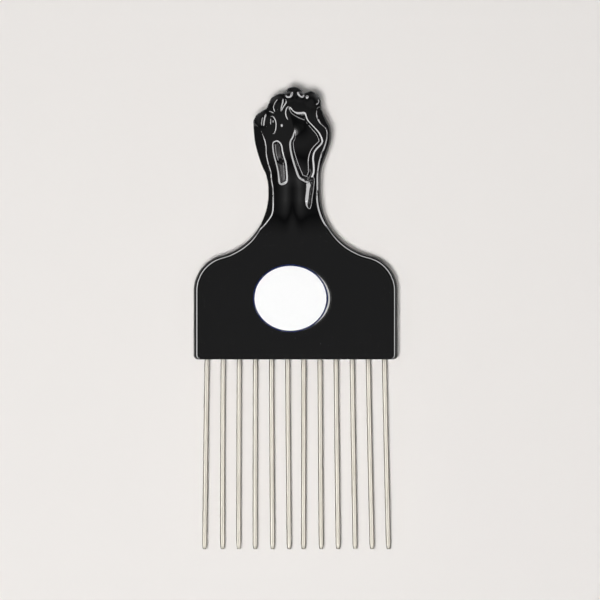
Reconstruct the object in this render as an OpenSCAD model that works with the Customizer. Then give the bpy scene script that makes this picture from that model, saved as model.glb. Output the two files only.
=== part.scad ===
/* [Body] */
// Width of the body across its straight sides
body_w = 77.4; // [70:0.2:84]
// Height of the straight sides, from the bottom edge to the shoulders
side_h = 26; // [20:0.5:32]
// Radius of each shoulder
shoulder_r = 14; // [10:0.5:16]
// Radius of the two small corners at the bottom edge
corner_r = 1.6; // [0.8:0.1:3]
// Depth of the rear half, from its flat back to the parting line
rear_d = 4.2; // [3.8:0.1:5]
// Depth of the front half, from the parting line to its flat face
front_d = 4.2; // [3.8:0.1:5]
// Radius of the rounded edge round the body
edge_r = 1.7; // [1:0.1:2.2]
// Thickness of the moulded walls
wall = 1.7; // [1.4:0.1:2]
// Thickness of the wall at the bottom edge, where the tines come out
end_wall = 3; // [2:0.2:4]

/* [Neck] */
// Width of the neck
neck_w = 19.9; // [17:0.1:22]
// How far the neck and the hand stand off the middle of the body
neck_x = -0.4; // [-1:0.1:0]
// Radius of the hollow curve from each shoulder into the neck
flare_r = 24; // [21:0.5:26]
// How much the face rises from the body to the wrist
wrist_rise = 1.2; // [0.6:0.1:2]
// How much lower the face of the wrist is at its sides than at its middle
wrist_crown = 0.35; // [0.1:0.05:0.6]

/* [Hand] */
// Height of the hand, from where the flares end to the top knuckle
hand_h = 40.3; // [36:0.1:45]
// Width that the shares of the hand's outline follow
hand_w = 29.6; // [27:0.2:33]
// How far the middle of the hand stands above the wrist
hand_rise = 3.9; // [2.5:0.1:5]
// How far each knuckle stands above the hand
knuckle_rise = 1.5; // [0.8:0.1:2]
// Depth of the two hollows in the back of the hand
hollow_d = 1.2; // [0.6:0.1:1.4]
// Width of the steep side of a hollow
hollow_side = 1.1; // [0.8:0.1:1.6]
// Height of the tendon and thumb ridges
ridge_h = 0.8; // [0.4:0.1:1.2]
// Half width of the ridges and of the creases
ridge_w = 1; // [0.7:0.1:1.5]
// Depth of the creases between the knuckles
crease_d = 0.9; // [0.5:0.1:1.2]
// Depth of the creases between the folded fingers on the rear
finger_d = 1.4; // [0.8:0.1:1.8]
// Radius of the rounded edge round the hand
hand_edge_r = 3; // [2:0.1:3.6]

/* [Pad and label] */
// Length of the raised oval pad, across the body
pad_w = 29.4; // [26:0.2:32]
// Height of the raised oval pad, along the body
pad_h = 26; // [23:0.2:28]
// How far the middle of the pad stands off the middle of the body
pad_x = -1.2; // [-2:0.1:2]
// Middle of the pad above the bottom edge
pad_y = 22.8; // [20:0.2:25]
// How far the pad stands above the face
pad_rise = 0.8; // [0.5:0.1:1.2]
// Length of the label
label_w = 28; // [20:0.2:28.4]
// Height of the label
label_h = 25.3; // [18:0.1:25.4]
// Thickness of the label
label_t = 0.3; // [0.2:0.05:0.5]
// How far the middle of the label stands off the middle of the pad
label_x = -0.5; // [-0.5:0.1:0.5]

/* [Tines] */
// Number of tines
tine_n = 12; // [8:1:12]
// Diameter of a tine
tine_d = 1.9; // [1.6:0.1:2.1]
// Distance from each side of the body to the middle of its first tine
tine_margin = 5.04; // [4.6:0.02:6]
// Length of a tine outside the body
tine_out = 72; // [60:1:90]
// Length of a tine inside the body
tine_in = 14; // [12:0.5:16]
// How far the outer tines lean outwards, in degrees
tine_lean = 0.9; // [0:0.1:1.2]
// Length of the turned-down tip
tip_len = 2.2; // [1.4:0.1:3]
// Diameter at the end of the tip
tip_d = 1.2; // [0.8:0.1:1.4]
// Diameter in the lock groove
lock_d = 1.3; // [1:0.1:1.4]
// Width of the lock groove
lock_w = 1.8; // [1.4:0.1:2.4]
// Length of wire behind the lock groove
lock_end = 2; // [1.5:0.1:3]

/* [Assembly] */
// Diameter of the weld pegs
peg_d = 2.2; // [1.8:0.1:2.6]
// How far each peg reaches into the rear shell
peg_len = 2; // [1.4:0.1:2.2]
// Thickness of the locating lip
lip_t = 0.7; // [0.5:0.1:0.9]
// Height of the locating lip above the parting line
lip_h = 0.8; // [0.5:0.1:1.2]
// Clearance between pieces that fit into each other
fit = 0.06; // [0.04:0.01:0.1]

/* [Hidden] */
tine_names = [for (i = [1:tine_n]) str("tine_", i < 10 ? "0" : "", i)];

// how far a cut runs past the face that it opens
over = 0.5;
// how deep ribs and bosses root in the wall that carries them
root = 0.6;
// rounding at the top of the pad
pad_edge = 0.4;
// how much the tip's end bulges, as a part of its radius
tip_round = 0.6;
// wall, thickness and draft of the saddles
saddle_wall = 0.5;
saddle_t = 1.6;
saddle_draft = 0.3;
// wall of the sockets
socket_wall = 1;
// play of the lock rib in the grooves, along the tines
rib_fit = 0.12;

// where the arcs of the outline meet: the shoulder's centre and the flare's centre on each side
shoulder_c = [body_w / 2 - shoulder_r, side_h];
function flare_x(side) = side * neck_x + neck_w / 2 + flare_r;
function flare_y(side) = side_h + sqrt(pow(shoulder_r + flare_r, 2) - pow(flare_x(side) - shoulder_c.x, 2));
function meet_y(side) = side_h + (flare_y(side) - side_h) * shoulder_r / (shoulder_r + flare_r);

// the handle is drawn with its bottom edge on the X axis, then moved so that the middle of the whole
// pick lies over the origin
neck_y = (flare_y(-1) + flare_y(1)) / 2;
hand_top = neck_y + hand_h;
middle_y = (hand_top - tine_out) / 2;

// the sides of the hand, as shares of its width and of its height, from the neck up
left_side_shares = [
    [0, -0.349], [0.077, -0.352], [0.181, -0.383], [0.256, -0.430], [0.369, -0.483], [0.483, -0.522],
    [0.575, -0.536]];
right_side_shares = [
    [0, 0.322], [0.077, 0.322], [0.181, 0.326], [0.256, 0.347], [0.332, 0.383], [0.444, 0.436],
    [0.501, 0.454], [0.575, 0.458]];
// the top of the hand from left to right, as shares of its width and of its height: four knuckles, with
// a crease between each two, then the thumb's side
top_shares = [
    [-0.536, 0.575], [-0.541, 0.671], [-0.527, 0.702], [-0.493, 0.742], [-0.416, 0.779], [-0.374, 0.799],
    [-0.345, 0.842], [-0.306, 0.898], [-0.223, 0.934], [-0.160, 0.940], [-0.128, 0.950], [-0.098, 0.983],
    [-0.012, 1], [0.074, 0.971], [0.105, 0.942], [0.150, 0.952], [0.198, 0.961], [0.272, 0.931],
    [0.321, 0.879], [0.327, 0.822], [0.336, 0.785], [0.388, 0.709], [0.440, 0.634], [0.458, 0.575]];
// the point that the top's spokes run to
hub_shares = [-0.040, 0.575];

// half the width and half the height of the hand's dome, as shares of its width and height
dome_shares = [0.5, 0.56];
// where the face starts and ends its rise to the wrist, as shares of the neck's height
rise_shares = [0.72, 1.14];
// where the carving starts below the neck, and where the space inside reaches its depth in the hand, as
// shares of the hand's height
carve_share = -0.15;
ceiling_share = 0.25;

// what stands on the back of the hand, as shares of the hand's width and height
knuckle_shares = [[-0.400, 0.668], [-0.215, 0.834], [-0.012, 0.909], [0.195, 0.872]];
knuckle_r_shares = [0.115, 0.125, 0.125, 0.125];
crease_shares = [
    [[-0.128, 0.979], [-0.150, 0.872], [-0.165, 0.764]],
    [[0.105, 0.968], [0.110, 0.872], [0.060, 0.818]],
    [[-0.374, 0.818], [-0.310, 0.743], [-0.270, 0.636]]];
ridge_shares = [
    [[0.158, 0.133], [0.160, 0.029], [0.155, -0.065], [0.142, -0.124]],
    [[0.258, 0.765], [0.303, 0.700], [0.367, 0.634], [0.405, 0.558], [0.396, 0.473], [0.365, 0.390],
        [0.325, 0.304], [0.290, 0.197]],
    [[-0.400, 0.507], [-0.365, 0.358], [-0.330, 0.197]],
    [[-0.100, 0.529], [-0.095, 0.358], [-0.060, 0.197]]];
palm_hollow_shares = [
    [-0.108, 0.813], [-0.044, 0.756], [0.046, 0.724], [0.123, 0.732], [0.175, 0.681], [0.239, 0.605],
    [0.309, 0.530], [0.277, 0.464], [0.220, 0.407], [0.207, 0.313], [0.194, 0.218], [0.155, 0.148],
    [0.059, 0.181], [-0.005, 0.265], [-0.044, 0.369], [-0.050, 0.473], [-0.012, 0.567],
    [-0.069, 0.652], [-0.114, 0.728]];
tendon_hollow_shares = [
    [-0.249, 0.497], [-0.204, 0.469], [-0.172, 0.402], [-0.140, 0.326], [-0.108, 0.252],
    [-0.104, 0.166], [-0.136, 0.101], [-0.178, 0.105], [-0.207, 0.166], [-0.236, 0.256],
    [-0.267, 0.350], [-0.284, 0.440]];

// what is cut into the rear of the hand: between the four folded fingers, round their ends, and round
// the thumb that lies across them
finger_shares = [
    [[-0.340, 0.850], [-0.320, 0.529]],
    [[-0.130, 0.989], [-0.120, 0.550]],
    [[0.100, 0.979], [0.090, 0.572]],
    [[-0.500, 0.572], [-0.410, 0.507], [-0.330, 0.529], [-0.230, 0.497], [-0.120, 0.550]],
    [[0.450, 0.657], [0.250, 0.593], [0.090, 0.572], [-0.080, 0.550], [-0.150, 0.475], [-0.100, 0.400],
        [0.080, 0.390], [0.240, 0.358], [0.330, 0.283]]];

// weld pegs, as shares of the body's width and of the height of its straight sides, then as shares of
// the hand's width and height
body_peg_shares = [[-0.400, 1.050], [0.400, 1.050], [-0.170, 1.500], [0.170, 1.500]];
hand_peg_shares = [[-0.014, 0.040], [-0.040, 0.575]];

// how finely the outline and the faces are divided
corner_steps = 2;
shoulder_steps = 7;
flare_steps = 7;
hand_steps = 20;
top_steps = 2;
edge_steps = 4;
front_steps = 12;
rear_steps = 7;
cavity_steps = 3;
tip_steps = 4;
round_fn = 24;
channel_fn = 16;
oval_fn = 64;

function smooth(t) = let (s = max(0, min(1, t))) s * s * (3 - 2 * s);
function mix(a, b, t) = a + (b - a) * t;
function hand_point(share) = [share.x * hand_w, neck_y + share.y * hand_h];
function hand_points(shares) = [for (s = shares) hand_point(s)];
function flat(lists) = [for (list = lists) for (item = list) item];

// a smooth curve through points, and through a table that gives a width for a height
function bend(a, b, c, d, t) = 0.5 * (2 * b + (c - a) * t + (2 * a - 5 * b + 4 * c - d) * t * t
    + (3 * b - a - 3 * c + d) * t * t * t);
function curve(pts, steps) = let (n = len(pts) - 1) concat(
    [for (i = [0:n - 1]) for (k = [0:steps - 1])
        bend(pts[max(i - 1, 0)], pts[i], pts[i + 1], pts[min(i + 2, n)], k / steps)], [pts[n]]);
function slope(table, i) = let (n = len(table) - 1, a = max(i - 1, 0), b = min(i + 1, n))
    (table[b][1] - table[a][1]) / (table[b][0] - table[a][0]);
function width_at(table, v, i = 0) = i < len(table) - 2 && v > table[i + 1][0] ? width_at(table, v, i + 1)
    : let (a = table[i], b = table[i + 1], h = b[0] - a[0], t = max(0, (v - a[0]) / h))
        a[1] * (1 + 2 * t) * (1 - t) * (1 - t) + b[1] * t * t * (3 - 2 * t)
        + h * slope(table, i) * t * (1 - t) * (1 - t) - h * slope(table, i + 1) * t * t * (1 - t);

// the outline on one side, as the distance from the middle at height y
function side_x(side, y) =
    y < corner_r ? body_w / 2 - corner_r + sqrt(corner_r * corner_r - pow(corner_r - y, 2))
    : y < side_h ? body_w / 2
    : y < meet_y(side) ? shoulder_c.x + sqrt(max(0, shoulder_r * shoulder_r - pow(y - side_h, 2)))
    : y < flare_y(side) ? flare_x(side) - sqrt(flare_r * flare_r - pow(flare_y(side) - y, 2))
    : side * width_at(side < 0 ? left_side_shares : right_side_shares, (y - neck_y) / hand_h) * hand_w;

// the heights at which the outline's two sides are divided, from a start height up to the hub
hub = hand_point(hub_shares);
function rows(start) = concat(
    [start],
    start > 0 ? [] : [for (i = [1:corner_steps]) corner_r * (1 - cos(90 * i / corner_steps))],
    [side_h],
    [for (i = [1:shoulder_steps]) side_h + shoulder_r * sin(asin((meet_y(1) - side_h) / shoulder_r)
        * i / shoulder_steps)],
    [for (i = [1:flare_steps]) flare_y(1) - flare_r * sin(asin((flare_y(1) - meet_y(1)) / flare_r)
        * (1 - i / (flare_steps + 1)))],
    [for (i = [1:hand_steps]) mix(flare_y(1), hub.y, i / hand_steps)]);

// the whole outline from the bottom left over the top to the bottom right, each point with the spine
// point that its spoke runs to
function outline(start) = let (y = rows(start), n = len(y) - 1,
    top = curve(hand_points(top_shares), top_steps)) concat(
        [for (i = [0:n]) [[-side_x(-1, y[i]), y[i]], [hub.x * smooth(y[i] / hub.y), y[i]]]],
        [for (i = [1:len(top) - 2]) [top[i], hub]],
        [for (i = [n:-1:0]) [[side_x(1, y[i]), y[i]], [hub.x * smooth(y[i] / hub.y), y[i]]]]);
// the way in from an outline point: level at the bottom corners, square to the shoulders and the flares,
// and along the spoke in the hand, where the spokes never cross
function inward(line, i) = let (n = len(line) - 1, p = line[i][0])
    p.y < side_h ? [p.x < 0 ? 1 : -1, 0]
    : let (t = p.y < neck_y ? line[min(i + 1, n)][0] - line[max(i - 1, 0)][0]
        : [line[i][1].y - p.y, p.x - line[i][1].x] * -1) [t.y, -t.x] / norm(t);

function segment_gap(p, a, b) = let (ab = b - a, t = max(0, min(1, (p - a) * ab / (ab * ab))))
    norm(p - a - ab * t);
function line_gap(p, pts) = min([for (i = [0:len(pts) - 2]) segment_gap(p, pts[i], pts[i + 1])]);
function in_loop(p, pts) = let (n = len(pts), crossed = [for (i = [0:n - 1])
    let (a = pts[i], b = pts[(i + 1) % n])
    if ((a.y > p.y) != (b.y > p.y) && p.x < (b.x - a.x) * (p.y - a.y) / (b.y - a.y) + a.x) 1])
    len(crossed) % 2 == 1;
// how far a point lies inside a closed line, or outside it as a negative length
function loop_depth(p, pts) = (in_loop(p, pts) ? 1 : -1) * line_gap(p, concat(pts, [pts[0]]));
function bell(gap, half) = exp(-pow(gap / half, 2));

palm_hollow = hand_points(palm_hollow_shares);
tendon_hollow = hand_points(tendon_hollow_shares);
ridges = [for (s = ridge_shares) hand_points(s)];
creases = [for (s = crease_shares) hand_points(s)];
finger_lines = [for (s = finger_shares) hand_points(s)];

// the smooth form of the front, above the parting line: a flat body, a crowned wrist, a domed hand
function hand_dome(p) = let (x = (p.x - hub.x) / (dome_shares.x * hand_w),
    y = (p.y - hub.y) / (dome_shares.y * hand_h)) smooth(1 - x * x - y * y);
function front_form(p) = let (start = rise_shares[0], end = rise_shares[1],
    up = smooth((p.y / neck_y - start) / (end - start)))
    front_d + wrist_rise * up - wrist_crown * up * pow((p.x - neck_x) / (neck_w / 2), 2)
    + hand_rise * hand_dome(p);
function knuckles(p) = max([for (i = [0:len(knuckle_shares) - 1])
    let (d = norm(p - hand_point(knuckle_shares[i])) / (knuckle_r_shares[i] * hand_w)) max(0, 1 - d * d)]);
function front_height(p) = p.y < neck_y + carve_share * hand_h ? front_form(p)
    : front_form(p) + knuckle_rise * knuckles(p)
        + ridge_h * max([for (r = ridges) bell(line_gap(p, r), ridge_w)])
        - crease_d * max([for (c = creases) bell(line_gap(p, c), ridge_w)])
        - hollow_d * smooth(loop_depth(p, palm_hollow) / hollow_side + 0.5)
        - hollow_d * smooth(loop_depth(p, tendon_hollow) / hollow_side + 0.5);
function rear_height(p) = p.y < neck_y ? rear_d
    : rear_d - finger_d * max([for (f = finger_lines) bell(line_gap(p, f), ridge_w)]);
function height(p, front) = front ? front_height(p) : rear_height(p);
function edge_at(p) = mix(edge_r, hand_edge_r, smooth((p.y - neck_y) / (hub.y - neck_y)));

// one spoke of a half shell: up the side, round the edge, then over the face to the spine
function spoke(line, i, front) = let (p = line[i][0], n = inward(line, i), r = edge_at(p), q = p + n * r,
        z = height(q, front)) concat(
    [[p.x, p.y, 0]],
    [for (k = [0:edge_steps]) let (a = 90 * k / edge_steps, s = p + n * r * (1 - cos(a)))
        [s.x, s.y, z - r * (1 - sin(a))]],
    let (steps = front ? front_steps : rear_steps)
        [for (k = [1:steps]) let (s = mix(q, line[i][1], k / steps)) [s.x, s.y, height(s, front)]]);

// a solid from spokes: its faces, the flat end at the bottom edge and the flat parting face
module spoked_solid(spokes, sides) {
    n = len(spokes) - 1;
    m = len(spokes[0]);
    last = sides - 1;
    // a spoke on the right ends on the spine point of its partner on the left
    function at(i, k) = k < m - 1 || i <= last ? i * m + k : (i >= n - last ? n - i : last) * m + k;
    faces = concat(
        flat([for (i = [0:n - 1]) [for (k = [0:m - 2]) [at(i, k), at(i + 1, k), at(i + 1, k + 1)]]]),
        flat([for (i = [0:n - 1]) [for (k = [0:m - 2])
            if (at(i, k + 1) != at(i + 1, k + 1)) [at(i, k), at(i + 1, k + 1), at(i, k + 1)]]]),
        [concat([for (k = [0:m - 1]) at(0, k)], [for (k = [m - 2:-1:0]) at(n, k)])],
        flat([for (i = [0:last - 1]) [[at(i, 0), at(n - i, 0), at(n - i - 1, 0)],
            [at(i, 0), at(n - i - 1, 0), at(i + 1, 0)]]]),
        [[for (i = [n - last:-1:last]) at(i, 0)]]);
    polyhedron(points = flat(spokes), faces = faces, convexity = 10);
}

module half_solid(front) {
    line = outline(0);
    spoked_solid([for (i = [0:len(line) - 1]) spoke(line, i, front)], len(rows(0)));
}

// the space inside a half shell
function ceiling(p, front) = let (up = smooth((p.y - neck_y) / (ceiling_share * hand_h)))
    (front ? front_form(p) - hollow_d * up : rear_d - finger_d * up) - wall;
module cavity(front) {
    line = outline(end_wall);
    side = front ? wall : wall + fit + lip_t;
    spoked_solid([for (i = [0:len(line) - 1]) let (p = line[i][0] + inward(line, i) * side) concat(
        [[p.x, p.y, -lip_h - over]],
        [for (k = [0:cavity_steps]) let (s = mix(p, line[i][1], k / cavity_steps))
            [s.x, s.y, ceiling(s, front)]])], len(rows(end_wall)));
}

// the raised oval that carries the label
module oval(w, h) {
    polygon([for (i = [0:oval_fn - 1]) let (a = 360 * i / oval_fn) [w / 2 * cos(a), h / 2 * sin(a)]]);
}
module pad() {
    translate([pad_x, pad_y, front_d - root]) hull() {
        linear_extrude(root + pad_rise - pad_edge) oval(pad_w, pad_h);
        linear_extrude(root + pad_rise) oval(pad_w - 2 * pad_edge, pad_h - 2 * pad_edge);
    }
}

// what holds the tines in each half: a rib in their lock grooves, and a saddle under each
tine_pitch = (body_w - 2 * tine_margin) / (tine_n - 1);
function tine_x(i) = tine_pitch * (i - (tine_n - 1) / 2);
function lean(i) = tine_lean * (2 * i / (tine_n - 1) - 1);
lock_y = tine_in - lock_end - lock_w / 2;
module on_tine(i, y = 0) {
    translate([tine_x(i), 0, 0]) rotate([0, 0, lean(i)]) translate([0, y, 0]) children();
}
module block(w, t, z, h) {
    translate([-w / 2, -t / 2, z]) cube([w, t, h]);
}
module tine_seats(depth) {
    top = depth - wall + root;
    translate([0, lock_y, 0]) block(body_w - 2 * (wall + lip_t + 2 * fit), lock_w - 2 * rib_fit, 0, top);
    for (i = [0:tine_n - 1]) on_tine(i, (end_wall + lock_y) / 2) hull() {
        block(tine_d + 2 * saddle_wall, saddle_t, 0, top);
        block(tine_d + 2 * (saddle_wall + saddle_draft), saddle_t + 2 * saddle_draft, top - root, root);
    }
}
module along_tine(i, from, to, d) {
    on_tine(i, to) rotate([90, 0, 0]) cylinder(d = d, h = to - from, $fn = channel_fn);
}
module tine_channels() {
    for (i = [0:tine_n - 1]) {
        along_tine(i, -over, lock_y - lock_w / 2 + fit, tine_d + 2 * fit);
        along_tine(i, 0, tine_in, lock_d + 2 * fit);
        along_tine(i, lock_y + lock_w / 2 - fit, tine_in + fit, tine_d + 2 * fit);
    }
}

// weld pegs on the front half, and their sockets in the rear half
pegs = concat([for (s = body_peg_shares) [s.x * body_w, s.y * side_h]], hand_points(hand_peg_shares));
module peg_bosses(front) {
    for (p = pegs) translate([p.x, p.y, 0])
        cylinder(d = peg_d + 2 * socket_wall, h = ceiling(p, front) + root, $fn = round_fn);
}
module peg_shanks(d, from, to) {
    for (p = pegs) translate([p.x, p.y, from]) cylinder(d = d, h = to - from, $fn = round_fn);
}

// the lip on the rear half, along both sides, that finds the inside of the front half's wall; it ends
// between the last two rows below the hub
module lip() {
    line = outline(end_wall + fit);
    n = len(line) - 1;
    top = len(rows(end_wall + fit)) - 2;
    function in_by(i, d) = line[i][0] + inward(line, i) * d;
    function edge(left, d) = [for (k = [0:top]) in_by(left ? k : n - k, d)];
    function past(left, d) = (in_by(left ? top : n - top, d) + in_by(left ? top + 1 : n - top - 1, d)) / 2;
    outer = wall + fit;
    inner = wall + fit + lip_t + over;
    for (left = [true, false]) translate([0, 0, -lip_h]) linear_extrude(lip_h + over) polygon(concat(
        edge(left, outer), [past(left, outer), past(left, inner)],
        [for (k = [top:-1:0]) edge(left, inner)[k]]));
}

// puts the handle's own lines, which start at the bottom edge and the parting line, in the pick's frame
module placed() {
    translate([0, -middle_y, rear_d]) children();
}

module front_shell() {
    color([0.1, 0.105, 0.11]) placed() difference() {
        union() {
            difference() {
                half_solid(true);
                cavity(true);
            }
            pad();
            tine_seats(front_d);
            peg_bosses(true);
            peg_shanks(peg_d, -peg_len, over);
        }
        tine_channels();
    }
}

module rear_shell() {
    color([0.1, 0.105, 0.11]) placed() mirror([0, 0, 1]) difference() {
        union() {
            difference() {
                union() {
                    half_solid(false);
                    lip();
                }
                cavity(false);
            }
            tine_seats(rear_d);
            peg_bosses(false);
        }
        peg_shanks(peg_d + 2 * fit, -over, peg_len + fit);
        tine_channels();
    }
}

module label() {
    color("white") placed() translate([pad_x + label_x, pad_y, front_d + pad_rise])
        linear_extrude(label_t) oval(label_w, label_h);
}

// a tine as half of its section: the root, the lock groove, the straight wire and the turned-down tip
module tine(i) {
    r = tine_d / 2;
    end = tine_in + tine_out;
    tip_r = tip_d / 2;
    color([0.8, 0.79, 0.76]) placed() on_tine(i, tine_in) rotate([90, 0, 0])
        rotate_extrude($fn = round_fn) polygon(concat(
            [[0, 0], [r, 0], [r, lock_end], [lock_d / 2, lock_end], [lock_d / 2, lock_end + lock_w],
                [r, lock_end + lock_w], [r, end - tip_len]],
            [for (k = [0:tip_steps]) let (a = 90 * k / tip_steps)
                [tip_r * cos(a), end - tip_r * tip_round + tip_r * tip_round * sin(a)]]));
}

front_shell();
rear_shell();
label();
for (i = [0:tine_n - 1]) tine(i);
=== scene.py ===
"""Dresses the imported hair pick: handle with its fist, wire tines, blank label and a plain studio."""

import math

import bmesh
import bpy
import numpy as np
from bpy.props import FloatProperty, FloatVectorProperty, PointerProperty
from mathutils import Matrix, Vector
from mathutils.geometry import delaunay_2d_cdt
from mathutils.kdtree import KDTree


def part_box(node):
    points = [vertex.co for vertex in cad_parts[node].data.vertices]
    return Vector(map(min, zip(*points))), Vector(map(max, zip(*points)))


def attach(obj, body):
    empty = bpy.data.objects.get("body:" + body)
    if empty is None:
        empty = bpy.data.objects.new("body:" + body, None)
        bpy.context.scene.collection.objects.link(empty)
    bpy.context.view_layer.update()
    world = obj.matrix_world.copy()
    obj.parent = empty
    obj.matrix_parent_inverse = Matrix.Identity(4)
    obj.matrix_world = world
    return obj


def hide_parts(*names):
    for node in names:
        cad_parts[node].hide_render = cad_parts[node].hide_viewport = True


bl_info = {
    "name": "Hair Pick Dresser",
    "version": (1, 0, 0),
    "blender": (4, 5, 0),
    "location": "View3D > Sidebar > Hair Pick",
    "description": "Builds the visible pieces of a wire hair pick around its packed solids",
    "category": "Object",
}

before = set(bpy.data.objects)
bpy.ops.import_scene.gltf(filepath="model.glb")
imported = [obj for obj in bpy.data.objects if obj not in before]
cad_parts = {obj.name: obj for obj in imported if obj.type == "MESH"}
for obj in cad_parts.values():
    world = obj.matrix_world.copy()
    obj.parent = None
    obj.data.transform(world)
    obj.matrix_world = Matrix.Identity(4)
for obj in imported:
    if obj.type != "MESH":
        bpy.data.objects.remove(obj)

MM = 0.001

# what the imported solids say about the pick
FRONT_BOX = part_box("front_shell")
LABEL_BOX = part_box("label")
TINES = sorted(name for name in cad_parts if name.startswith("tine_"))
TINE_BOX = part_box(TINES[0])
BODY_W = FRONT_BOX[1].x - FRONT_BOX[0].x
HAND_TOP = FRONT_BOX[1].y - FRONT_BOX[0].y
EDGE_Y = FRONT_BOX[0].y
PART_Z = (TINE_BOX[0].z + TINE_BOX[1].z) / 2
TINE_R = (TINE_BOX[1].z - TINE_BOX[0].z) / 2
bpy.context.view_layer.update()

# the power of each softbox, from the right side round over the fist
SOFTBOX_SHARES = (0.85, 0.85, 0.7, 1.0, 1.2, 1.05, 0.95, 0.9)
# how bright the dome is, by the sine of the height above the horizon
DOME_STOPS = (
    (0.0, 0.06), (0.4, 0.06), (0.56, 0.25), (0.788, 0.9), (0.838, 0.85), (0.864, 0.3), (0.885, 0.14),
    (0.94, 0.015), (0.99, 0.112))
# the angle of each of the two sets of hairline scratches, and the scale of the noise that draws them
SCRATCH_LINES = ((0.6, 1800), (-0.9, 2280))

# scales of the noises and cells: the skin's waves, patches of scratches, specks, the drawing lines and the
# darker places of the wire, the label's film and the floor
WAVES, PATCHES, SPECKS, DRAWN, STAINS, FILM, GRAIN = 70, 60, 420, 5200, 95, 900, 40
# how far noise is drawn out into scratches and into drawing lines
SCRATCH_STRETCH, DRAWN_STRETCH = 0.03, 0.012
# the values between which scratches, their patches and specks set in, and how rare specks are
SCRATCH_RANGE, PATCH_RANGE, SPECK_RANGE, SPECK_CHANCE = (0.70, 0.76), (0.5, 0.62), (0.045, 0.02), 0.86
# how much scratches and dust add to the roughness, and a scratch's height beside that of the waves
SCRATCH_DULL, DUST_DULL, SCRATCH_HEIGHT = 0.25, 0.8, -0.02
# the strength and the distance of each bump
SKIN_BUMP, WIRE_BUMP, FILM_BUMP = (0.25, 0.06 * MM), (0.06, 0.01 * MM), (0.15, 0.01 * MM)
# what the darker places of the wire, the film and the floor keep of their colour
STAIN_KEEPS, FILM_KEEPS, FLOOR_KEEPS = (0.93, 0.91, 0.86), (0.97,) * 3, (0.985,) * 3
# the least and the most of the roughness of the wire and the film, as shares of their own
WIRE_SPREAD, FILM_SPREAD = (0.85, 1.2), (0.9, 1.1)

# how far each wire is bent sideways at its tip, in millimetres, from the left
TIP_BENDS = (0.2, 0.7, 0.5, 0.4, 0.7, 0.7, -0.2, 0.2, 0.3, 0.4, 0.5, 0.4)
# how late along a wire its bend sets in: 1 for a straight line
BEND_POWER = 1.3

# the sides of the hand, as pairs of a share of its height above the neck and a share of its width
LEFT_SHARES = np.array([
    (0, -0.349), (0.077, -0.352), (0.181, -0.383), (0.256, -0.430), (0.369, -0.483), (0.483, -0.522),
    (0.575, -0.536)])
RIGHT_SHARES = np.array([
    (0, 0.322), (0.077, 0.322), (0.181, 0.326), (0.256, 0.347), (0.332, 0.383), (0.444, 0.436),
    (0.501, 0.454), (0.575, 0.458)])
# the top of the hand from left to right, as shares of its width and of its height
TOP_SHARES = np.array([
    (-0.536, 0.575), (-0.541, 0.671), (-0.527, 0.702), (-0.493, 0.742), (-0.416, 0.779), (-0.374, 0.799),
    (-0.345, 0.842), (-0.306, 0.898), (-0.223, 0.934), (-0.160, 0.940), (-0.128, 0.950), (-0.098, 0.983),
    (-0.012, 1), (0.074, 0.971), (0.105, 0.942), (0.150, 0.952), (0.198, 0.961), (0.272, 0.931),
    (0.321, 0.879), (0.327, 0.822), (0.336, 0.785), (0.388, 0.709), (0.440, 0.634), (0.458, 0.575)])
# the middle of the fist, where its sides end and its top begins
HUB_SHARES = (-0.040, 0.575)
# where the face starts to rise, as a share of the neck's height, and where it is full, as one of the hand's
RISE_SHARES = (0.65, 0.50)
# the rounded part of that rise at each of its ends, as a share of the whole
EASE_SHARE = 0.35
# where the hand starts to fall to the knuckles, as a share of its height
NOD_SHARE = 0.70
# where the steep flank round the hand starts and is whole, as shares of the hand's height
FLANK_SHARES = (-0.44, -0.26)
# the share of the flank's steepness from which it has its own rows of points
FLANK_SEEN = 0.02

# the knuckles: place as shares of the hand, radius as a share of its width
KNUCKLE_SHARES = (
    (-0.400, 0.690, 0.130), (-0.225, 0.850, 0.125), (-0.085, 0.915, 0.085), (0.055, 0.915, 0.085),
    (0.215, 0.880, 0.115))
# the flank's width as a share of the hand's width, at shares of its height, on the left and the right
LEFT_FLANK_SHARES = np.array([
    (-0.440, 0.038), (-0.340, 0.042), (-0.250, 0.056), (-0.225, 0.073), (-0.195, 0.093), (-0.168, 0.095),
    (-0.145, 0.084), (-0.112, 0.075), (-0.065, 0.064), (0.029, 0.055), (0.124, 0.047), (0.171, 0.064),
    (0.265, 0.084), (0.359, 0.101), (0.407, 0.122), (0.473, 0.128), (0.548, 0.110), (0.600, 0.090),
    (0.640, 0.050), (0.668, -0.012)])
RIGHT_FLANK_SHARES = np.array([
    (-0.440, 0.041), (-0.327, 0.044), (-0.254, 0.051), (-0.159, 0.054), (-0.065, 0.054), (0.029, 0.042),
    (0.124, 0.044), (0.218, 0.045), (0.295, 0.060), (0.345, 0.064), (0.396, 0.060), (0.447, 0.057),
    (0.484, 0.057), (0.527, 0.050), (0.578, 0.050), (0.621, 0.056), (0.650, 0.062), (0.683, 0.092),
    (0.715, 0.104), (0.750, 0.098), (0.800, 0.060), (0.840, -0.012)])

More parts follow.
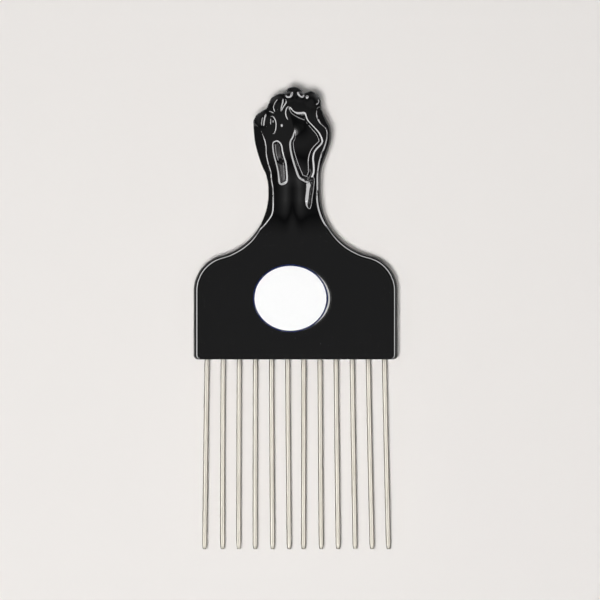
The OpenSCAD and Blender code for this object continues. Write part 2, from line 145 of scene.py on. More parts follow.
# the bevelled rims of the hollows, as shares of the hand's width and height, each with the share of the full
# bevel that it has there and the angle of the wall behind it in degrees
PALM_SHARES = np.array([
    (-0.083, 0.81, 0.5, 30), (-0.072, 0.808, 0.9, 30), (-0.051, 0.784, 1, 34),
    (-0.009, 0.76, 1.1, 34), (0.059, 0.755, 1.2, 34), (0.11, 0.757, 1.1, 34), (0.131, 0.731, 0.85, 40),
    (0.149, 0.693, 0.75, 43), (0.196, 0.652, 0.7, 43), (0.255, 0.607, 0.75, 43), (0.302, 0.565, 0.9, 42),
    (0.334, 0.514, 1, 40), (0.339, 0.482, 1.1, 40), (0.311, 0.451, 1, 38), (0.27, 0.42, 1, 35),
    (0.237, 0.382, 0.9, 34), (0.223, 0.329, 1, 35), (0.23, 0.27, 1.1, 38), (0.231, 0.204, 1.1, 42),
    (0.21, 0.154, 1.2, 42), (0.193, 0.112, 1.1, 38), (0.172, 0.095, 0.7, 31), (0.135, 0.108, 1.1, 29),
    (0.085, 0.128, 1.3, 31), (0.038, 0.155, 1.3, 34), (-0.003, 0.237, 1.1, 40),
    (-0.033, 0.308, 1.1, 42), (-0.06, 0.388, 1.1, 42), (-0.071, 0.454, 1.1, 42),
    (-0.064, 0.495, 1, 42), (-0.036, 0.531, 1, 42), (-0.021, 0.571, 0.8, 40), (-0.018, 0.591, 0.2, 20),
    (-0.036, 0.647, 0, 10), (-0.064, 0.718, 0, 10), (-0.083, 0.774, 0.1, 14)])
STEM_SHARES = np.array([
    (0.166, 0.088, 2.9, 60), (0.158, 0.048, 2.5, 60), (0.152, 0.006, 2.2, 60), (0.146, -0.032, 2.3, 60),
    (0.141, -0.065, 2.2, 60), (0.139, -0.1, 1.4, 60), (0.149, -0.124, 0.9, 60),
    (0.166, -0.14, 0.5, 60), (0.185, -0.139, 0.35, 60), (0.2, -0.1, 0.35, 60), (0.21, -0.041, 0.35, 60),
    (0.226, 0.035, 0.35, 60), (0.237, 0.114, 0.35, 60), (0.228, 0.15, 0.2, 60), (0.2, 0.157, 0, 60),
    (0.172, 0.142, 0, 60)])
TENDON_SHARES = np.array([
    (-0.291, 0.469, 0.8, 50), (-0.275, 0.483, 0.9, 52), (-0.241, 0.491, 1, 56),
    (-0.208, 0.479, 1, 62), (-0.181, 0.446, 1, 64), (-0.169, 0.395, 1, 64),
    (-0.152, 0.344, 1, 62), (-0.128, 0.286, 1.05, 56), (-0.117, 0.213, 1.05, 50),
    (-0.112, 0.146, 1.2, 50), (-0.123, 0.108, 1.6, 54), (-0.162, 0.092, 2.0, 58),
    (-0.2, 0.097, 1.5, 62), (-0.214, 0.137, 1.05, 64), (-0.229, 0.223, 1, 63),
    (-0.25, 0.286, 1, 56), (-0.279, 0.366, 0.95, 50), (-0.291, 0.431, 0.9, 49)])
# the middle line of the small hollow's floor
TENDON_LINE_SHARES = np.array([(-0.247, 0.454), (-0.157, 0.146)])
# fine lines of the skin: the share of the full width that each one has, and its points in the hand
STROKE_SHARES = (
    (1.1, ((-0.044, 0.946), (-0.054, 0.925), (-0.075, 0.904), (-0.103, 0.904), (-0.121, 0.914))),
    (1, ((0.029, 0.946), (0.038, 0.925), (0.062, 0.906), (0.087, 0.907), (0.1, 0.918))),
    (1.7, ((0.145, 0.912), (0.151, 0.889))),
    (1, ((0.287, 0.874), (0.28, 0.85), (0.257, 0.833))),
    (1, ((-0.162, 0.885), (-0.169, 0.848), (-0.182, 0.814), (-0.187, 0.765))),
    (0.9, ((-0.126, 0.885), (-0.123, 0.853), (-0.146, 0.825), (-0.172, 0.793), (-0.182, 0.765))),
    (1, ((-0.234, 0.876), (-0.259, 0.842), (-0.275, 0.81), (-0.272, 0.786), (-0.263, 0.759))),
    (0.7, ((-0.339, 0.769), (-0.311, 0.763), (-0.277, 0.75))),
    (1.1, ((-0.38, 0.738), (-0.395, 0.693), (-0.406, 0.631))),
    (0.9, ((-0.419, 0.71), (-0.431, 0.638))),
    (0.9, ((-0.324, 0.716), (-0.295, 0.72), (-0.264, 0.695), (-0.249, 0.657), (-0.253, 0.601),
           (-0.27, 0.565), (-0.298, 0.555))),
    (0.7, ((-0.321, 0.703), (-0.321, 0.644))),
    (0.7, ((-0.288, 0.687), (-0.289, 0.663))),
    (1.5, ((-0.177, 0.648), (-0.175, 0.625))),
    (0.65, ((-0.076, 0.774), (-0.057, 0.748), (-0.009, 0.724), (0.05, 0.702), (0.12, 0.687))),
    (0.9, ((-0.09, 0.819), (-0.113, 0.797), (-0.127, 0.765), (-0.125, 0.734), (-0.109, 0.703),
           (-0.092, 0.684))))

# the width of a line's end as a share of its own, in which part of its length it reaches all of it, and how
# far its crest is rounded, as a share of its width
LINE_END, LINE_RUN, LINE_ROUND = 0.4, 0.25, 0.2
# where a line has rows of points, as shares of its half width
LINE_ROWS = (-1, -0.5, 0, 0.5, 1)
# where the floor of the small hollow turns from one lean to the other, as shares of its length
LEAN_SHARES = (0.36, 0.64)
# how late the large hollow's floor drops to its lower end: 1 for a straight line
DROP_POWER = 4
# between which heights the edge at the right of the hand turns sharp, as shares of its height
KNUCKLE_LINE_SHARES = (0.66, 0.84)
# between which heights the bevel round the face runs out, on the left and the right of the hand
BROW_SHARES = ((0.50, 0.57), (0.735, 0.79))
# where the valley of the wrist starts, is whole, and runs out again, as shares of the hand's height
VALLEY_SHARES = (-0.62, -0.06, 0.05, 0.50)
# how steep a bevel is that catches the softboxes
BEVEL = math.tan(math.radians(23.5))
# the angle from which an edge of the handle is drawn sharp
CREASE = math.radians(28)
# how steep the pad's wall is below its bevel
PAD_WALL = math.radians(58)

# what is cut into the rear of the hand, as shares: lines between the four folded fingers
FINGER_SHARES = (
    ((-0.340, 0.850), (-0.320, 0.529)),
    ((-0.130, 0.989), (-0.120, 0.550)),
    ((0.100, 0.979), (0.090, 0.572)),
    ((-0.500, 0.572), (-0.410, 0.507), (-0.330, 0.529), (-0.230, 0.497), (-0.120, 0.550)),
    ((0.450, 0.657), (0.250, 0.593), (0.090, 0.572), (-0.080, 0.550), (-0.150, 0.475), (-0.100, 0.400),
     (0.080, 0.390), (0.240, 0.358), (0.330, 0.283)))

# how many points each part of the outline has: rounded end, corner, side, shoulder and flare
END_POINTS, CORNER_POINTS, SIDE_POINTS, SHOULDER_POINTS, FLARE_POINTS = 5, 7, 20, 50, 90
# the angle in the corner from which its own points start, above those of the rounded end
CORNER_START = 0.5
# how many steps a smooth curve takes from one point of its table to the next
TOP_STEPS, RIM_STEPS, STROKE_STEPS, FINGER_STEPS = 14, 4, 5, 4
# how often the ways in and the flank's widths are evened out along the outline
WAY_ROUNDS, WIDTH_ROUNDS = 40, 30
# in how many rounds the foot of a wall is found, and its rows beside the foot, as shares of the bevel's turn
FOOT_ROUNDS = 4
FOOT_ROWS = (-1.6, -0.5, 0.6, 1.7)
# the groove of the parting line: how deep and how high each of its rings lies, in shares of its size
SEAM_ROWS = ((1, 0), (0.3, 0.35), (0, 1))
# how many rings an edge has, and how many points a quarter arc, a bevel's side and half a tine's hole
EDGE_RINGS, ARC_POINTS, BEVEL_POINTS, HOLE_POINTS = 11, 5, 15, 13
# how many points there are round the pad, the label and a wire, and along a wire, its tip and its rounding
PAD_POINTS, LABEL_POINTS, WIRE_POINTS = 128, 192, 32
WIRE_ROWS, TIP_ROWS, NOSE_ROWS = 40, 9, 6
REAR_COARSER, QUICK_COARSER = 2.5, 3
# shares of the neck's height: where the rear's points start, and where both halves have all of theirs
REAR_GRID_SHARE, CARVED_SHARE = 0.845, 0.9
# in shares of the mesh's spacing: the step along carved lines, the cell that holds one of their points, and
# how far the grid keeps from those lines and from the ring round the face
LINE_STEP, MERGE_SHARE, LINE_CLEAR, RING_CLEAR = 0.8, 0.55, 0.6, 0.55
# how near to each other points are welded, and how many points are measured in one go
WELD, BATCH = 1e-7, 3000


def length(name, description, default):
    """A size of the pick, in metres."""
    return FloatProperty(name=name, description=description, default=default, min=0, precision=5,
                         subtype="DISTANCE", unit="LENGTH")


def offset(name, description, default):
    """A place or size that may be negative, in metres."""
    return FloatProperty(name=name, description=description, default=default, precision=5,
                         subtype="DISTANCE", unit="LENGTH")


def share(name, description, default):
    """A number from 0 to 1."""
    return FloatProperty(name=name, description=description, default=default, min=0, max=1,
                         subtype="FACTOR")


def amount(name, description, default):
    """A plain number that isn't negative."""
    return FloatProperty(name=name, description=description, default=default, min=0)


def angle(name, description, degrees):
    """An angle, given in degrees."""
    return FloatProperty(name=name, description=description, default=math.radians(degrees),
                         subtype="ANGLE", unit="ROTATION")


def colour(name, description, default):
    """A linear colour."""
    return FloatVectorProperty(name=name, description=description, default=default, min=0, max=1,
                               subtype="COLOR")


class PICK_PG_handle(bpy.types.PropertyGroup):
    """Sizes of the moulded handle."""

    side_h: length("Side height", "Height of the straight sides", 26 * MM)
    shoulder_r: length("Shoulder radius", "Radius of each shoulder", 14 * MM)
    corner_r: length("Corner radius", "Radius of the corners at the bottom edge", 1.6 * MM)
    front_d: length("Front depth", "From the parting line to the flat face", 4.2 * MM)
    edge_r: length("Edge radius", "Radius of the rounded edge round the body", 2.0 * MM)
    neck_w: length("Neck width", "Width of the neck", 19.9 * MM)
    neck_x: offset("Neck offset", "How far the neck stands off the middle", -0.4 * MM)
    flare_r: length("Flare radius", "Radius of the curve from shoulder to neck", 24 * MM)
    pad_w: length("Pad length", "Length of the raised oval pad", 29.1 * MM)
    pad_h: length("Pad height", "Height of the raised oval pad", 24.8 * MM)
    pad_x: offset("Pad offset", "How far the pad stands off the middle", -1.2 * MM)
    pad_y: length("Pad place", "Middle of the pad above the bottom edge", 23.1 * MM)
    pad_rim: length("Pad rim", "Width of the bevel round the pad's top", 0.7 * MM)
    pad_turn: length("Pad turn", "Width over which the pad's bevel turns", 0.15 * MM)
    pad_foot: length("Pad foot", "Radius where the pad stands on the face", 0.15 * MM)
    end_r: length("End rounding", "Rounding of the square bottom edge", 0.12 * MM)
    seam: length("Seam", "Width of the parting line on each half", 0.1 * MM)
    mouth: length("Tine mouth", "Width of the bevel round each tine", 0.16 * MM)
    hole_gap: length("Hole gap", "Gap between a tine and its hole", 0.06 * MM)
    hole_depth: length("Hole depth", "How deep a tine's hole is drawn", 2.5 * MM)
    face_step: length("Face step", "Width of the row of faces inside the rounded edge", 0.08 * MM)
    spacing: length("Mesh spacing", "Distance between the points of the carved face", 0.15 * MM)


class PICK_PG_fist(bpy.types.PropertyGroup):
    """Sizes of the carved fist."""

    hand_w: length("Hand width", "Width that the shares of the hand follow", 29.6 * MM)
    rise: length("Hand rise", "How far the hand stands above the flat face", 5.6 * MM)
    crown: length("Hand crown", "How much lower the hand is at its sides", 0.9 * MM)
    nod: length("Knuckle fall", "How much lower the hand is at its top", 0.8 * MM)
    valley_d: length("Wrist valley", "Depth of the valley between the tendons of the wrist", 0.85 * MM)
    valley_w: length("Wrist valley width", "Half width of the valley of the wrist", 4 * MM)
    flank_angle: angle("Flank angle", "How steep the flank round the hand is", 36)
    brow: length("Brow", "Width of the bevel between the left flank and the face", 0.42 * MM)
    right_brow: length("Right brow", "Width of the bevel between the right flank and the face", 0.55 * MM)
    edge_r: length("Hand edge", "Radius of the edge round the hand's left and top", 0.25 * MM)
    right_edge_r: length("Right edge", "Radius of the edge at the hand's right", 0.9 * MM)
    knuckle_rise: length("Knuckle rise", "How far a knuckle stands above the hand", 0.35 * MM)
    bevel_w: length("Bevel", "Width of the bevel round a hollow", 0.58 * MM)
    turn: length("Bevel turn", "Width over which a bevel turns into the next face", 0.15 * MM)
    sharp_turn: length("Sharp turn", "The same width beside the knuckles, where it is a crease", 0.01 * MM)
    foot: length("Hollow foot", "Height over which the large hollow's wall turns into its floor", 0.35 * MM)
    sharp_foot: length("Sharp foot", "The same height in the small hollow and the groove", 0.1 * MM)
    palm_d: length("Large hollow", "Depth of the large hollow at its top", 1.0 * MM)
    palm_tilt: length("Large hollow tilt", "How much deeper its lower right is", 0.6 * MM)
    palm_drop: length("Large hollow drop", "How much deeper its lower end is", 0.75 * MM)
    stem_d: length("Wrist groove", "Greatest depth of the groove in the wrist", 1.2 * MM)
    tendon_d: length("Small hollow", "Depth of the small hollow at its middle", 1.2 * MM)
    tendon_lean: angle("Small hollow lean", "How far its floor leans at its top", 17.5)
    tendon_low_lean: angle("Small hollow lower lean", "How far its floor leans the other way below", 15.5)
    stroke_w: length("Skin line", "Half width of a fine line of the skin", 0.32 * MM)
    finger_d: length("Finger creases", "Depth of the creases on the rear", 1.4 * MM)
    finger_w: length("Finger crease width", "Half width of the creases on the rear", 1.1 * MM)


class PICK_PG_tines(bpy.types.PropertyGroup):
    """Sizes of the wire tines."""

    lean: angle("Lean", "How far the outer tines lean outwards", 0.9)
    tip_len: length("Tip length", "Length of the turned-down tip", 2 * MM)
    nose: length("Tip rounding", "Rounding of the edge of the tip's flat end", 0.4 * MM)
    tip_r: length("Tip radius", "Radius at the end of the tip", 0.74 * MM)


class PICK_PG_label(bpy.types.PropertyGroup):
    """Sizes of the blank label."""

    rim: length("Rim", "Width of the dark edge line", 0.58 * MM)
    rim_step: length("Rim step", "Width of the row of white faces inside the edge line", 0.1 * MM)
    edge_r: length("Edge radius", "Rounding of the label's edge", 0.03 * MM)
    shift_x: offset("Sideways", "How far the label stands off its solid's middle", -0.28 * MM)
    shift_y: offset("Upwards", "How far the label stands above its solid's middle", 0.38 * MM)
    grow: length("Growth", "How much wider the label is than its solid on each side", 0.18 * MM)


class PICK_PG_looks(bpy.types.PropertyGroup):
    """Colours and finishes."""

    plastic: colour("Plastic", "Colour of the moulded handle", (0.0012, 0.0013, 0.0016))
    gloss: share("Gloss roughness", "Roughness of the handle", 0.07)
    ior: amount("Plastic IOR", "How strongly the plastic mirrors", 1.6)
    scratches: share("Scratches", "How strong the handle's hairline scratches are", 0.5)
    dust: share("Dust", "How much dust lies on the handle", 0.35)
    dust_colour: colour("Dust colour", "Colour of the dust", (0.35, 0.34, 0.32))
    wire: colour("Wire", "Colour of the plated wire", (0.29, 0.276, 0.25))
    # painted shade: a dark edge tint that makes the wire's sides reflect less, so they come out dark as if
    # shaded
    wire_edge_painted_shade: colour("Wire edge", "How much light the wire's sides give back", (0.1, 0.1, 0.1))
    wire_tip: colour("Wire tip", "Colour of the cut and ground tips", (0.13, 0.125, 0.108))
    tip_fade: length("Tip fade", "Length over which the wire darkens to its tip", 1.4 * MM)
    wire_rough: share("Wire roughness", "Roughness of the wire", 0.45)
    paper: colour("Label white", "Colour of the blank label", (0.96, 0.96, 0.96))
    paper_rough: share("Label roughness", "Roughness of the blank label", 0.35)
    navy: colour("Label edge", "Colour of the label's edge line", (0.002, 0.010, 0.070))
    navy_rough: share("Label edge roughness", "Roughness of the label's edge line", 0.12)
    floor: colour("Floor", "Colour of the studio floor", (0.765, 0.735, 0.712))
    floor_rough: share("Floor roughness", "Roughness of the studio floor", 0.75)


class PICK_PG_studio(bpy.types.PropertyGroup):
    """The camera and the lights."""

    view_w: length("View width", "Width of the picture at the pick's face", 227.3 * MM)
    view_x: offset("View middle X", "Middle of the picture", 1.63 * MM)
    view_y: offset("View middle Y", "Middle of the picture", 6.96 * MM)
    camera_z: length("Camera height", "Height of the camera above the face", 2500 * MM)
    floor_half: length("Floor", "Half the width of the floor", 2400 * MM)
    floor_gap: length("Floor gap", "How far the floor lies below the pick", 0.02 * MM)
    ring_r: length("Light distance", "Distance of the softboxes from the pick", 1500 * MM)
    ring_up: angle("Light elevation", "How high the middle of the softboxes stands", 43)
    box_w: length("Softbox width", "Width of each softbox", 880 * MM)
    box_h: length("Softbox height", "Height of each softbox", 470 * MM)
    power: amount("Light power", "Power of each softbox, in watts", 12.5)
    key_w: length("Top light size", "Width of the light above the pick", 400 * MM)
    key_x: offset("Top light X", "How far the light above stands off the middle", -130 * MM)
    key_y: offset("Top light Y", "How far the light above stands off the middle", -150 * MM)
    key_power: amount("Top light power", "Power of the light above, in watts", 22.8)
    dome: amount("Dome light", "Strength of the dome that the gloss mirrors", 2)


GROUPS = {"pick_handle": PICK_PG_handle, "pick_fist": PICK_PG_fist, "pick_tines": PICK_PG_tines,
          "pick_label": PICK_PG_label, "pick_looks": PICK_PG_looks, "pick_studio": PICK_PG_studio}


# Shape functions

def smooth(t, start=0, end=1):
    """0 before the start, 1 past the end, and a smooth step between."""
    s = np.clip((t - start) / (end - start), 0, 1)
    return s * s * (3 - 2 * s)


def eased(t):
    """0 below 0, 1 above 1, and between them a straight rise with rounded ends."""
    s = np.clip(t, 0, 1)
    half = np.minimum(s, 1 - s)
    rise = np.where(half < EASE_SHARE, half ** 2 / (2 * EASE_SHARE), half - EASE_SHARE / 2)
    rise /= 1 - EASE_SHARE
    return np.where(s < 0.5, rise, 1 - rise)


def soft_min(a, b, k):
    """The smaller of a and b, rounded over where they lie within k of each other."""
    h = np.clip(1 - np.abs(a - b) / k, 0, 1)
    return np.minimum(a, b) - h * h * k / 4


def soft_max(a, b, k):
    """The larger of a and b, rounded where they lie within k of each other."""
    return -soft_min(-a, -b, k)


def wall_fall(t, bevel_w, bevel, slope, turn):
    """How far a wall has fallen at a distance t past its rim: first its bevel, then the steeper wall."""
    bevel = np.minimum(bevel, slope)
    first = np.clip(t, 0, turn)
    middle = np.clip(t - turn, 0, bevel_w)
    last = np.clip(t - turn - bevel_w, 0, turn)
    wall = np.maximum(0, t - 2 * turn - bevel_w)
    return (bevel * (first ** 2 / (2 * turn) + middle + last) + (slope - bevel) * last ** 2 / (2 * turn)
            + slope * wall)


def steepness(wanted, tilt, inward):
    """How steep a wall is cut into a tilted face, so that it ends up as steep as wanted."""
    along = (tilt * inward).sum(1)
    return along + np.sqrt(np.maximum(0.01, along ** 2 + wanted ** 2 - (tilt ** 2).sum(1)))


def bend(a, b, c, d, t):
    """A point of a smooth curve from b to c, whose neighbours are a and d."""
    even = 2 * a - 5 * b + 4 * c - d
    late = 3 * b - a - 3 * c + d
    return (2 * b + (c - a) * t + even * t * t + late * t ** 3) / 2


def curve(points, steps, closed=False):
    """A smooth curve through points."""
    pts = np.asarray(points, float)
    n = len(pts)
    made = []
    for i in range(n if closed else n - 1):
        four = [pts[(i + k) % n] if closed else pts[min(max(i + k, 0), n - 1)] for k in (-1, 0, 1, 2)]
        made += [bend(*four, k / steps) for k in range(steps)]
    if not closed:
        made.append(pts[-1])
    return np.array(made)


def width_at(table, v):
    """The width that a table of (height, width) gives at height v, smoothly."""
    x, y = table.T
    slope = np.gradient(y, x)
    slope[1:-1] = (y[2:] - y[:-2]) / (x[2:] - x[:-2])
    i = np.clip(np.searchsorted(x, v, side="right") - 1, 0, len(x) - 2)
    h = x[i + 1] - x[i]
    t = np.clip((v - x[i]) / h, 0, 1)
    return (y[i] * (1 + 2 * t) * (1 - t) ** 2 + y[i + 1] * t * t * (3 - 2 * t)
            + h * slope[i] * t * (1 - t) ** 2 - h * slope[i + 1] * t * t * (1 - t))


def nearest(p, others):
    """How far each point of p lies from the nearest of some other points, and that one's number."""
    tree = KDTree(len(others))
    for i, (x, y) in enumerate(others):
        tree.insert((x, y, 0), i)
    tree.balance()
    found = [tree.find((x, y, 0)) for x, y in p]
    return np.array([gap for _, _, gap in found]), np.array([i for _, i, _ in found], int)


def line_gap(p, line):
    """How far each point of p lies from a line, the segment it is nearest to, and where along it."""
    near = nearest(p, line)[1]
    found = []
    for seg in (np.clip(near - 1, 0, len(line) - 2), np.clip(near, 0, len(line) - 2)):
        a, ab = line[seg], line[seg + 1] - line[seg]
        t = np.clip(((p - a) * ab).sum(1) / np.maximum((ab ** 2).sum(1), 1e-18), 0, 1)
        found.append((np.linalg.norm(p - a - t[:, None] * ab, axis=1), seg, t))
    first = found[0][0] <= found[1][0]
    return tuple(np.where(first, *pair) for pair in zip(*found))


def in_loop(p, loop):
    """Which points of p lie inside a closed loop."""
    inside = np.zeros(len(p), bool)
    ends = np.roll(loop, -1, axis=0)
    for a, b in zip(loop, ends):
        if a[1] == b[1]:
            continue
        crosses = (a[1] > p[:, 1]) != (b[1] > p[:, 1])
        inside ^= crosses & (p[:, 0] < (b[0] - a[0]) * (p[:, 1] - a[1]) / (b[1] - a[1]) + a[0])
    return inside


def beside(line, by, closed):
    """A line moved sideways: outwards if it is closed, and to the right of its way if it is open."""
    ahead = np.roll(line, -1, axis=0) - np.roll(line, 1, axis=0) if closed else np.gradient(line, axis=0)
    right = np.column_stack([ahead[:, 1], -ahead[:, 0]]) / np.linalg.norm(ahead, axis=1)[:, None]
    turn = np.sum(line[:, 0] * np.roll(line[:, 1], -1) - line[:, 1] * np.roll(line[:, 0], -1))
    return line + (np.sign(turn) if closed else 1) * np.reshape(by, (-1, 1)) * right


def spaced(line, step):
    """Points along a line at an even distance."""
    run = np.concatenate([[0], np.cumsum(np.linalg.norm(np.diff(line, axis=0), axis=1))])
    at = np.linspace(0, run[-1], max(2, int(run[-1] / step) + 1))
    return np.column_stack([np.interp(at, run, line[:, k]) for k in (0, 1)])


def evened(row):
    """A row of values along a line, each drawn towards its two neighbours."""
    made = row.copy()
    made[1:-1] = (row[:-2] + 2 * row[1:-1] + row[2:]) / 4
    return made


def bell(gap, half):
    """1 on a line, falling off smoothly over a half width."""
    return np.exp(-(gap / half) ** 2)


class Hollow:
    """A hollow with a bevelled rim, whose bevel and wall change round its loop."""

    def __init__(self, shares, form):
        fist = form.f
        line = curve(np.column_stack([form.hand_points(shares[:, :2]), shares[:, 2:]]), RIM_STEPS, True)
        self.turn = fist.turn
        self.bevel_w = np.maximum(0, line[:, 2]) * fist.bevel_w
        inward = line[:, :2] - beside(line[:, :2], 1, True)
        tilt = form.tilt(line[:, :2])
        self.bevel = steepness(BEVEL, tilt, inward)
        self.slope = steepness(np.tan(np.radians(line[:, 3])), tilt, inward)
        self.loop = beside(line[:, :2], self.turn + self.bevel_w / 2, True)

    def fall(self, p):
        """How far the wall has fallen at each point of p, as if the hollow had no floor."""
        ends = np.roll(self.loop, -1, axis=0)
        ab = ends - self.loop
        square = (ab ** 2).sum(1)
        sizes = [(size, np.roll(size, -1) - size) for size in (self.bevel_w, self.bevel, self.slope)]
        fallen = np.zeros(len(p))
        inside = np.flatnonzero(in_loop(p, self.loop))
        # in batches, because each holds every point's gap to every segment
        for i in np.array_split(inside, len(inside) // BATCH + 1):
            q = p[i][:, None, :] - self.loop[None]
            t = np.clip((q * ab[None]).sum(2) / square, 0, 1)
            gap = np.sqrt(((q - t[..., None] * ab[None]) ** 2).sum(2))
            fallen[i] = wall_fall(gap, *[start + t * more for start, more in sizes], self.turn).min(1)
        return fallen

    def rows(self, depth_at):
        """Lines along which the mesh needs points: the turns of the bevel and the foot of the wall."""
        rim = 2 * self.turn + self.bevel_w
        fallen = wall_fall(rim, self.bevel_w, self.bevel, self.slope, self.turn)
        foot = rim
        for _ in range(FOOT_ROUNDS):
            foot = rim + np.maximum(0, depth_at(beside(self.loop, -foot, True)) - fallen) / self.slope
        steps = [np.zeros_like(rim), np.full_like(rim, self.turn), rim / 2, rim - self.turn, rim]
        steps += [foot + k * self.turn for k in FOOT_ROWS]
        made = [beside(self.loop, -step, True) for step in steps]
        return [np.vstack([line, line[:1]]) for line in made]


class HandleForm:
    """The handle's own lines: X across, Y up from the bottom edge, Z out from the parting line."""

    def __init__(self, handle, fist):
        self.s = handle
        self.f = fist
        self.shoulder_x = BODY_W / 2 - handle.shoulder_r
        self.neck_y = (self.flare_y(-1) + self.flare_y(1)) / 2
        self.hand_h = HAND_TOP - self.neck_y
        self.hub = self.hand_points(HUB_SHARES)
        self.palm = Hollow(PALM_SHARES, self)
        self.stem = Hollow(STEM_SHARES, self)
        self.tendon = Hollow(TENDON_SHARES, self)
        self.strokes = [(weight * fist.stroke_w, curve(self.hand_points(line), STROKE_STEPS))
                        for weight, line in STROKE_SHARES]
        self.fingers = [curve(self.hand_points(line), FINGER_STEPS) for line in FINGER_SHARES]

    def hand_points(self, shares):
        """Points in the hand, from shares of its width and height."""
        return np.asarray(shares, float) * (self.f.hand_w, self.hand_h) + (0, self.neck_y)

    def height_share(self, y):
        """A height as a share of the hand's height above the neck."""
        return (y - self.neck_y) / self.hand_h

    def flare_x(self, side):
        """How far the middle of a flare's arc stands from the middle of the pick."""
        return side * self.s.neck_x + self.s.neck_w / 2 + self.s.flare_r

    def flare_y(self, side):
        """The height of the middle of a flare's arc."""
        run = self.flare_x(side) - self.shoulder_x
        return self.s.side_h + math.sqrt((self.s.shoulder_r + self.s.flare_r) ** 2 - run ** 2)

    def meet_y(self, side):
        """The height at which a shoulder runs into its flare."""
        rise = self.flare_y(side) - self.s.side_h
        return self.s.side_h + rise * self.s.shoulder_r / (self.s.shoulder_r + self.s.flare_r)

    def side_x(self, side, y):
        """How far the outline stands from the middle at height y."""
        s = self.s
        corner = BODY_W / 2 - s.corner_r + np.sqrt(np.maximum(0, s.corner_r ** 2 - (s.corner_r - y) ** 2))
        shoulder = self.shoulder_x + np.sqrt(np.maximum(0, s.shoulder_r ** 2 - (y - s.side_h) ** 2))
        below = self.flare_y(side) - y
        flare = self.flare_x(side) - np.sqrt(np.maximum(0, s.flare_r ** 2 - below ** 2))
        table = LEFT_SHARES if side < 0 else RIGHT_SHARES
        hand = side * width_at(table, self.height_share(y)) * self.f.hand_w
        return np.select([y < s.corner_r, y < s.side_h, y < self.meet_y(side), y < self.flare_y(side)],
                         [corner, BODY_W / 2, shoulder, flare], hand)

    def rows(self, side):
        """The heights at which one side of the outline is divided."""
        s = self.s
        turn = np.linspace(0, math.pi / 2, END_POINTS)
        shoulder = math.asin((self.meet_y(side) - s.side_h) / s.shoulder_r)
        flare = math.asin((self.flare_y(side) - self.meet_y(side)) / s.flare_r)
        hand = int((self.hub[1] - self.flare_y(side)) / s.spacing)
        return np.concatenate([
            s.end_r * (1 - np.cos(turn)),
            s.corner_r * (1 - np.cos(np.linspace(CORNER_START, math.pi / 2, CORNER_POINTS))),
            np.linspace(s.corner_r, s.side_h, SIDE_POINTS)[1:],
            s.side_h + s.shoulder_r * np.sin(np.linspace(0, shoulder, SHOULDER_POINTS)[1:]),
            self.flare_y(side) - s.flare_r * np.sin(np.linspace(flare, 0, FLARE_POINTS)[1:]),
            np.linspace(self.flare_y(side), self.hub[1], hand)[1:]])

    def outline(self):
        """The outline from bottom left over the top to bottom right, and the way in at each point."""
        left, right = self.rows(-1), self.rows(1)[::-1]
        top = curve(self.hand_points(TOP_SHARES), TOP_STEPS)[1:-1]
        pts = np.vstack([np.column_stack([-self.side_x(-1, left), left]), top,
                         np.column_stack([self.side_x(1, right), right])])
        ahead = np.roll(pts, -1, axis=0) - np.roll(pts, 1, axis=0)
        ahead[0], ahead[-1] = pts[1] - pts[0], pts[-1] - pts[-2]
        way = np.column_stack([ahead[:, 1], -ahead[:, 0]])
        way /= np.linalg.norm(way, axis=1)[:, None]
        level = pts[:, 1] < self.s.side_h
        way[level] = np.column_stack([-np.sign(pts[level, 0]), np.zeros(level.sum())])
        # the ways in turn gently, so that they never cross in the hand
        high = pts[:, 1] > self.neck_y
        for _ in range(WAY_ROUNDS):
            way[high] = evened(way)[high]
        way /= np.linalg.norm(way, axis=1)[:, None]
        return pts, way

    def flank_share(self, y):
        """0 in the body and 1 in the hand, where the flank stands steep."""
        return smooth(self.height_share(y), *FLANK_SHARES)

    def edge_at(self, p):
        """The radius of the edge at each point of the outline."""
        x, y = p.T
        low = smooth(self.height_share(y), *reversed(KNUCKLE_LINE_SHARES))
        hand = self.f.edge_r + (self.f.right_edge_r - self.f.edge_r) * low * (x > self.hub[0])
        return self.s.edge_r + (hand - self.s.edge_r) * self.flank_share(y)

    def base(self, p):
        """The smooth face: a flat body, a crowned wrist and a hand that rises gently to its middle."""
        s, f = self.s, self.f
        x, y = p.T
        start, full = self.neck_y * RISE_SHARES[0], self.neck_y + self.hand_h * RISE_SHARES[1]
        up = eased((y - start) / (full - start))
        v = self.height_share(y)
        nod = smooth(v, NOD_SHARE)
        across = (x - self.hub[0]) / (f.hand_w / 2)
        valley = smooth(v, *VALLEY_SHARES[:2]) * (1 - smooth(v, *VALLEY_SHARES[2:]))
        return (s.front_d + f.rise * up - f.nod * nod - f.crown * up * across ** 2
                - f.valley_d * valley * bell(x - self.hub[0], f.valley_w))

    def tilt(self, p):
        """How the smooth face rises across and up at each point."""
        step = 0.5 * self.s.spacing
        return np.column_stack([self.base(p + way) - self.base(p - way)
                                for way in ((step, 0), (0, step))]) / (2 * step)

    def flank_width(self, outline):
        """The flank's width at each point of the outline."""
        v = self.height_share(outline[:, 1])
        left, right = [np.interp(v, *shares.T) for shares in (LEFT_FLANK_SHARES, RIGHT_FLANK_SHARES)]
        width = np.where(np.arange(len(outline)) < outline[:, 1].argmax(), left, right)
        for _ in range(WIDTH_ROUNDS):
            width = evened(width)
        return width * self.f.hand_w

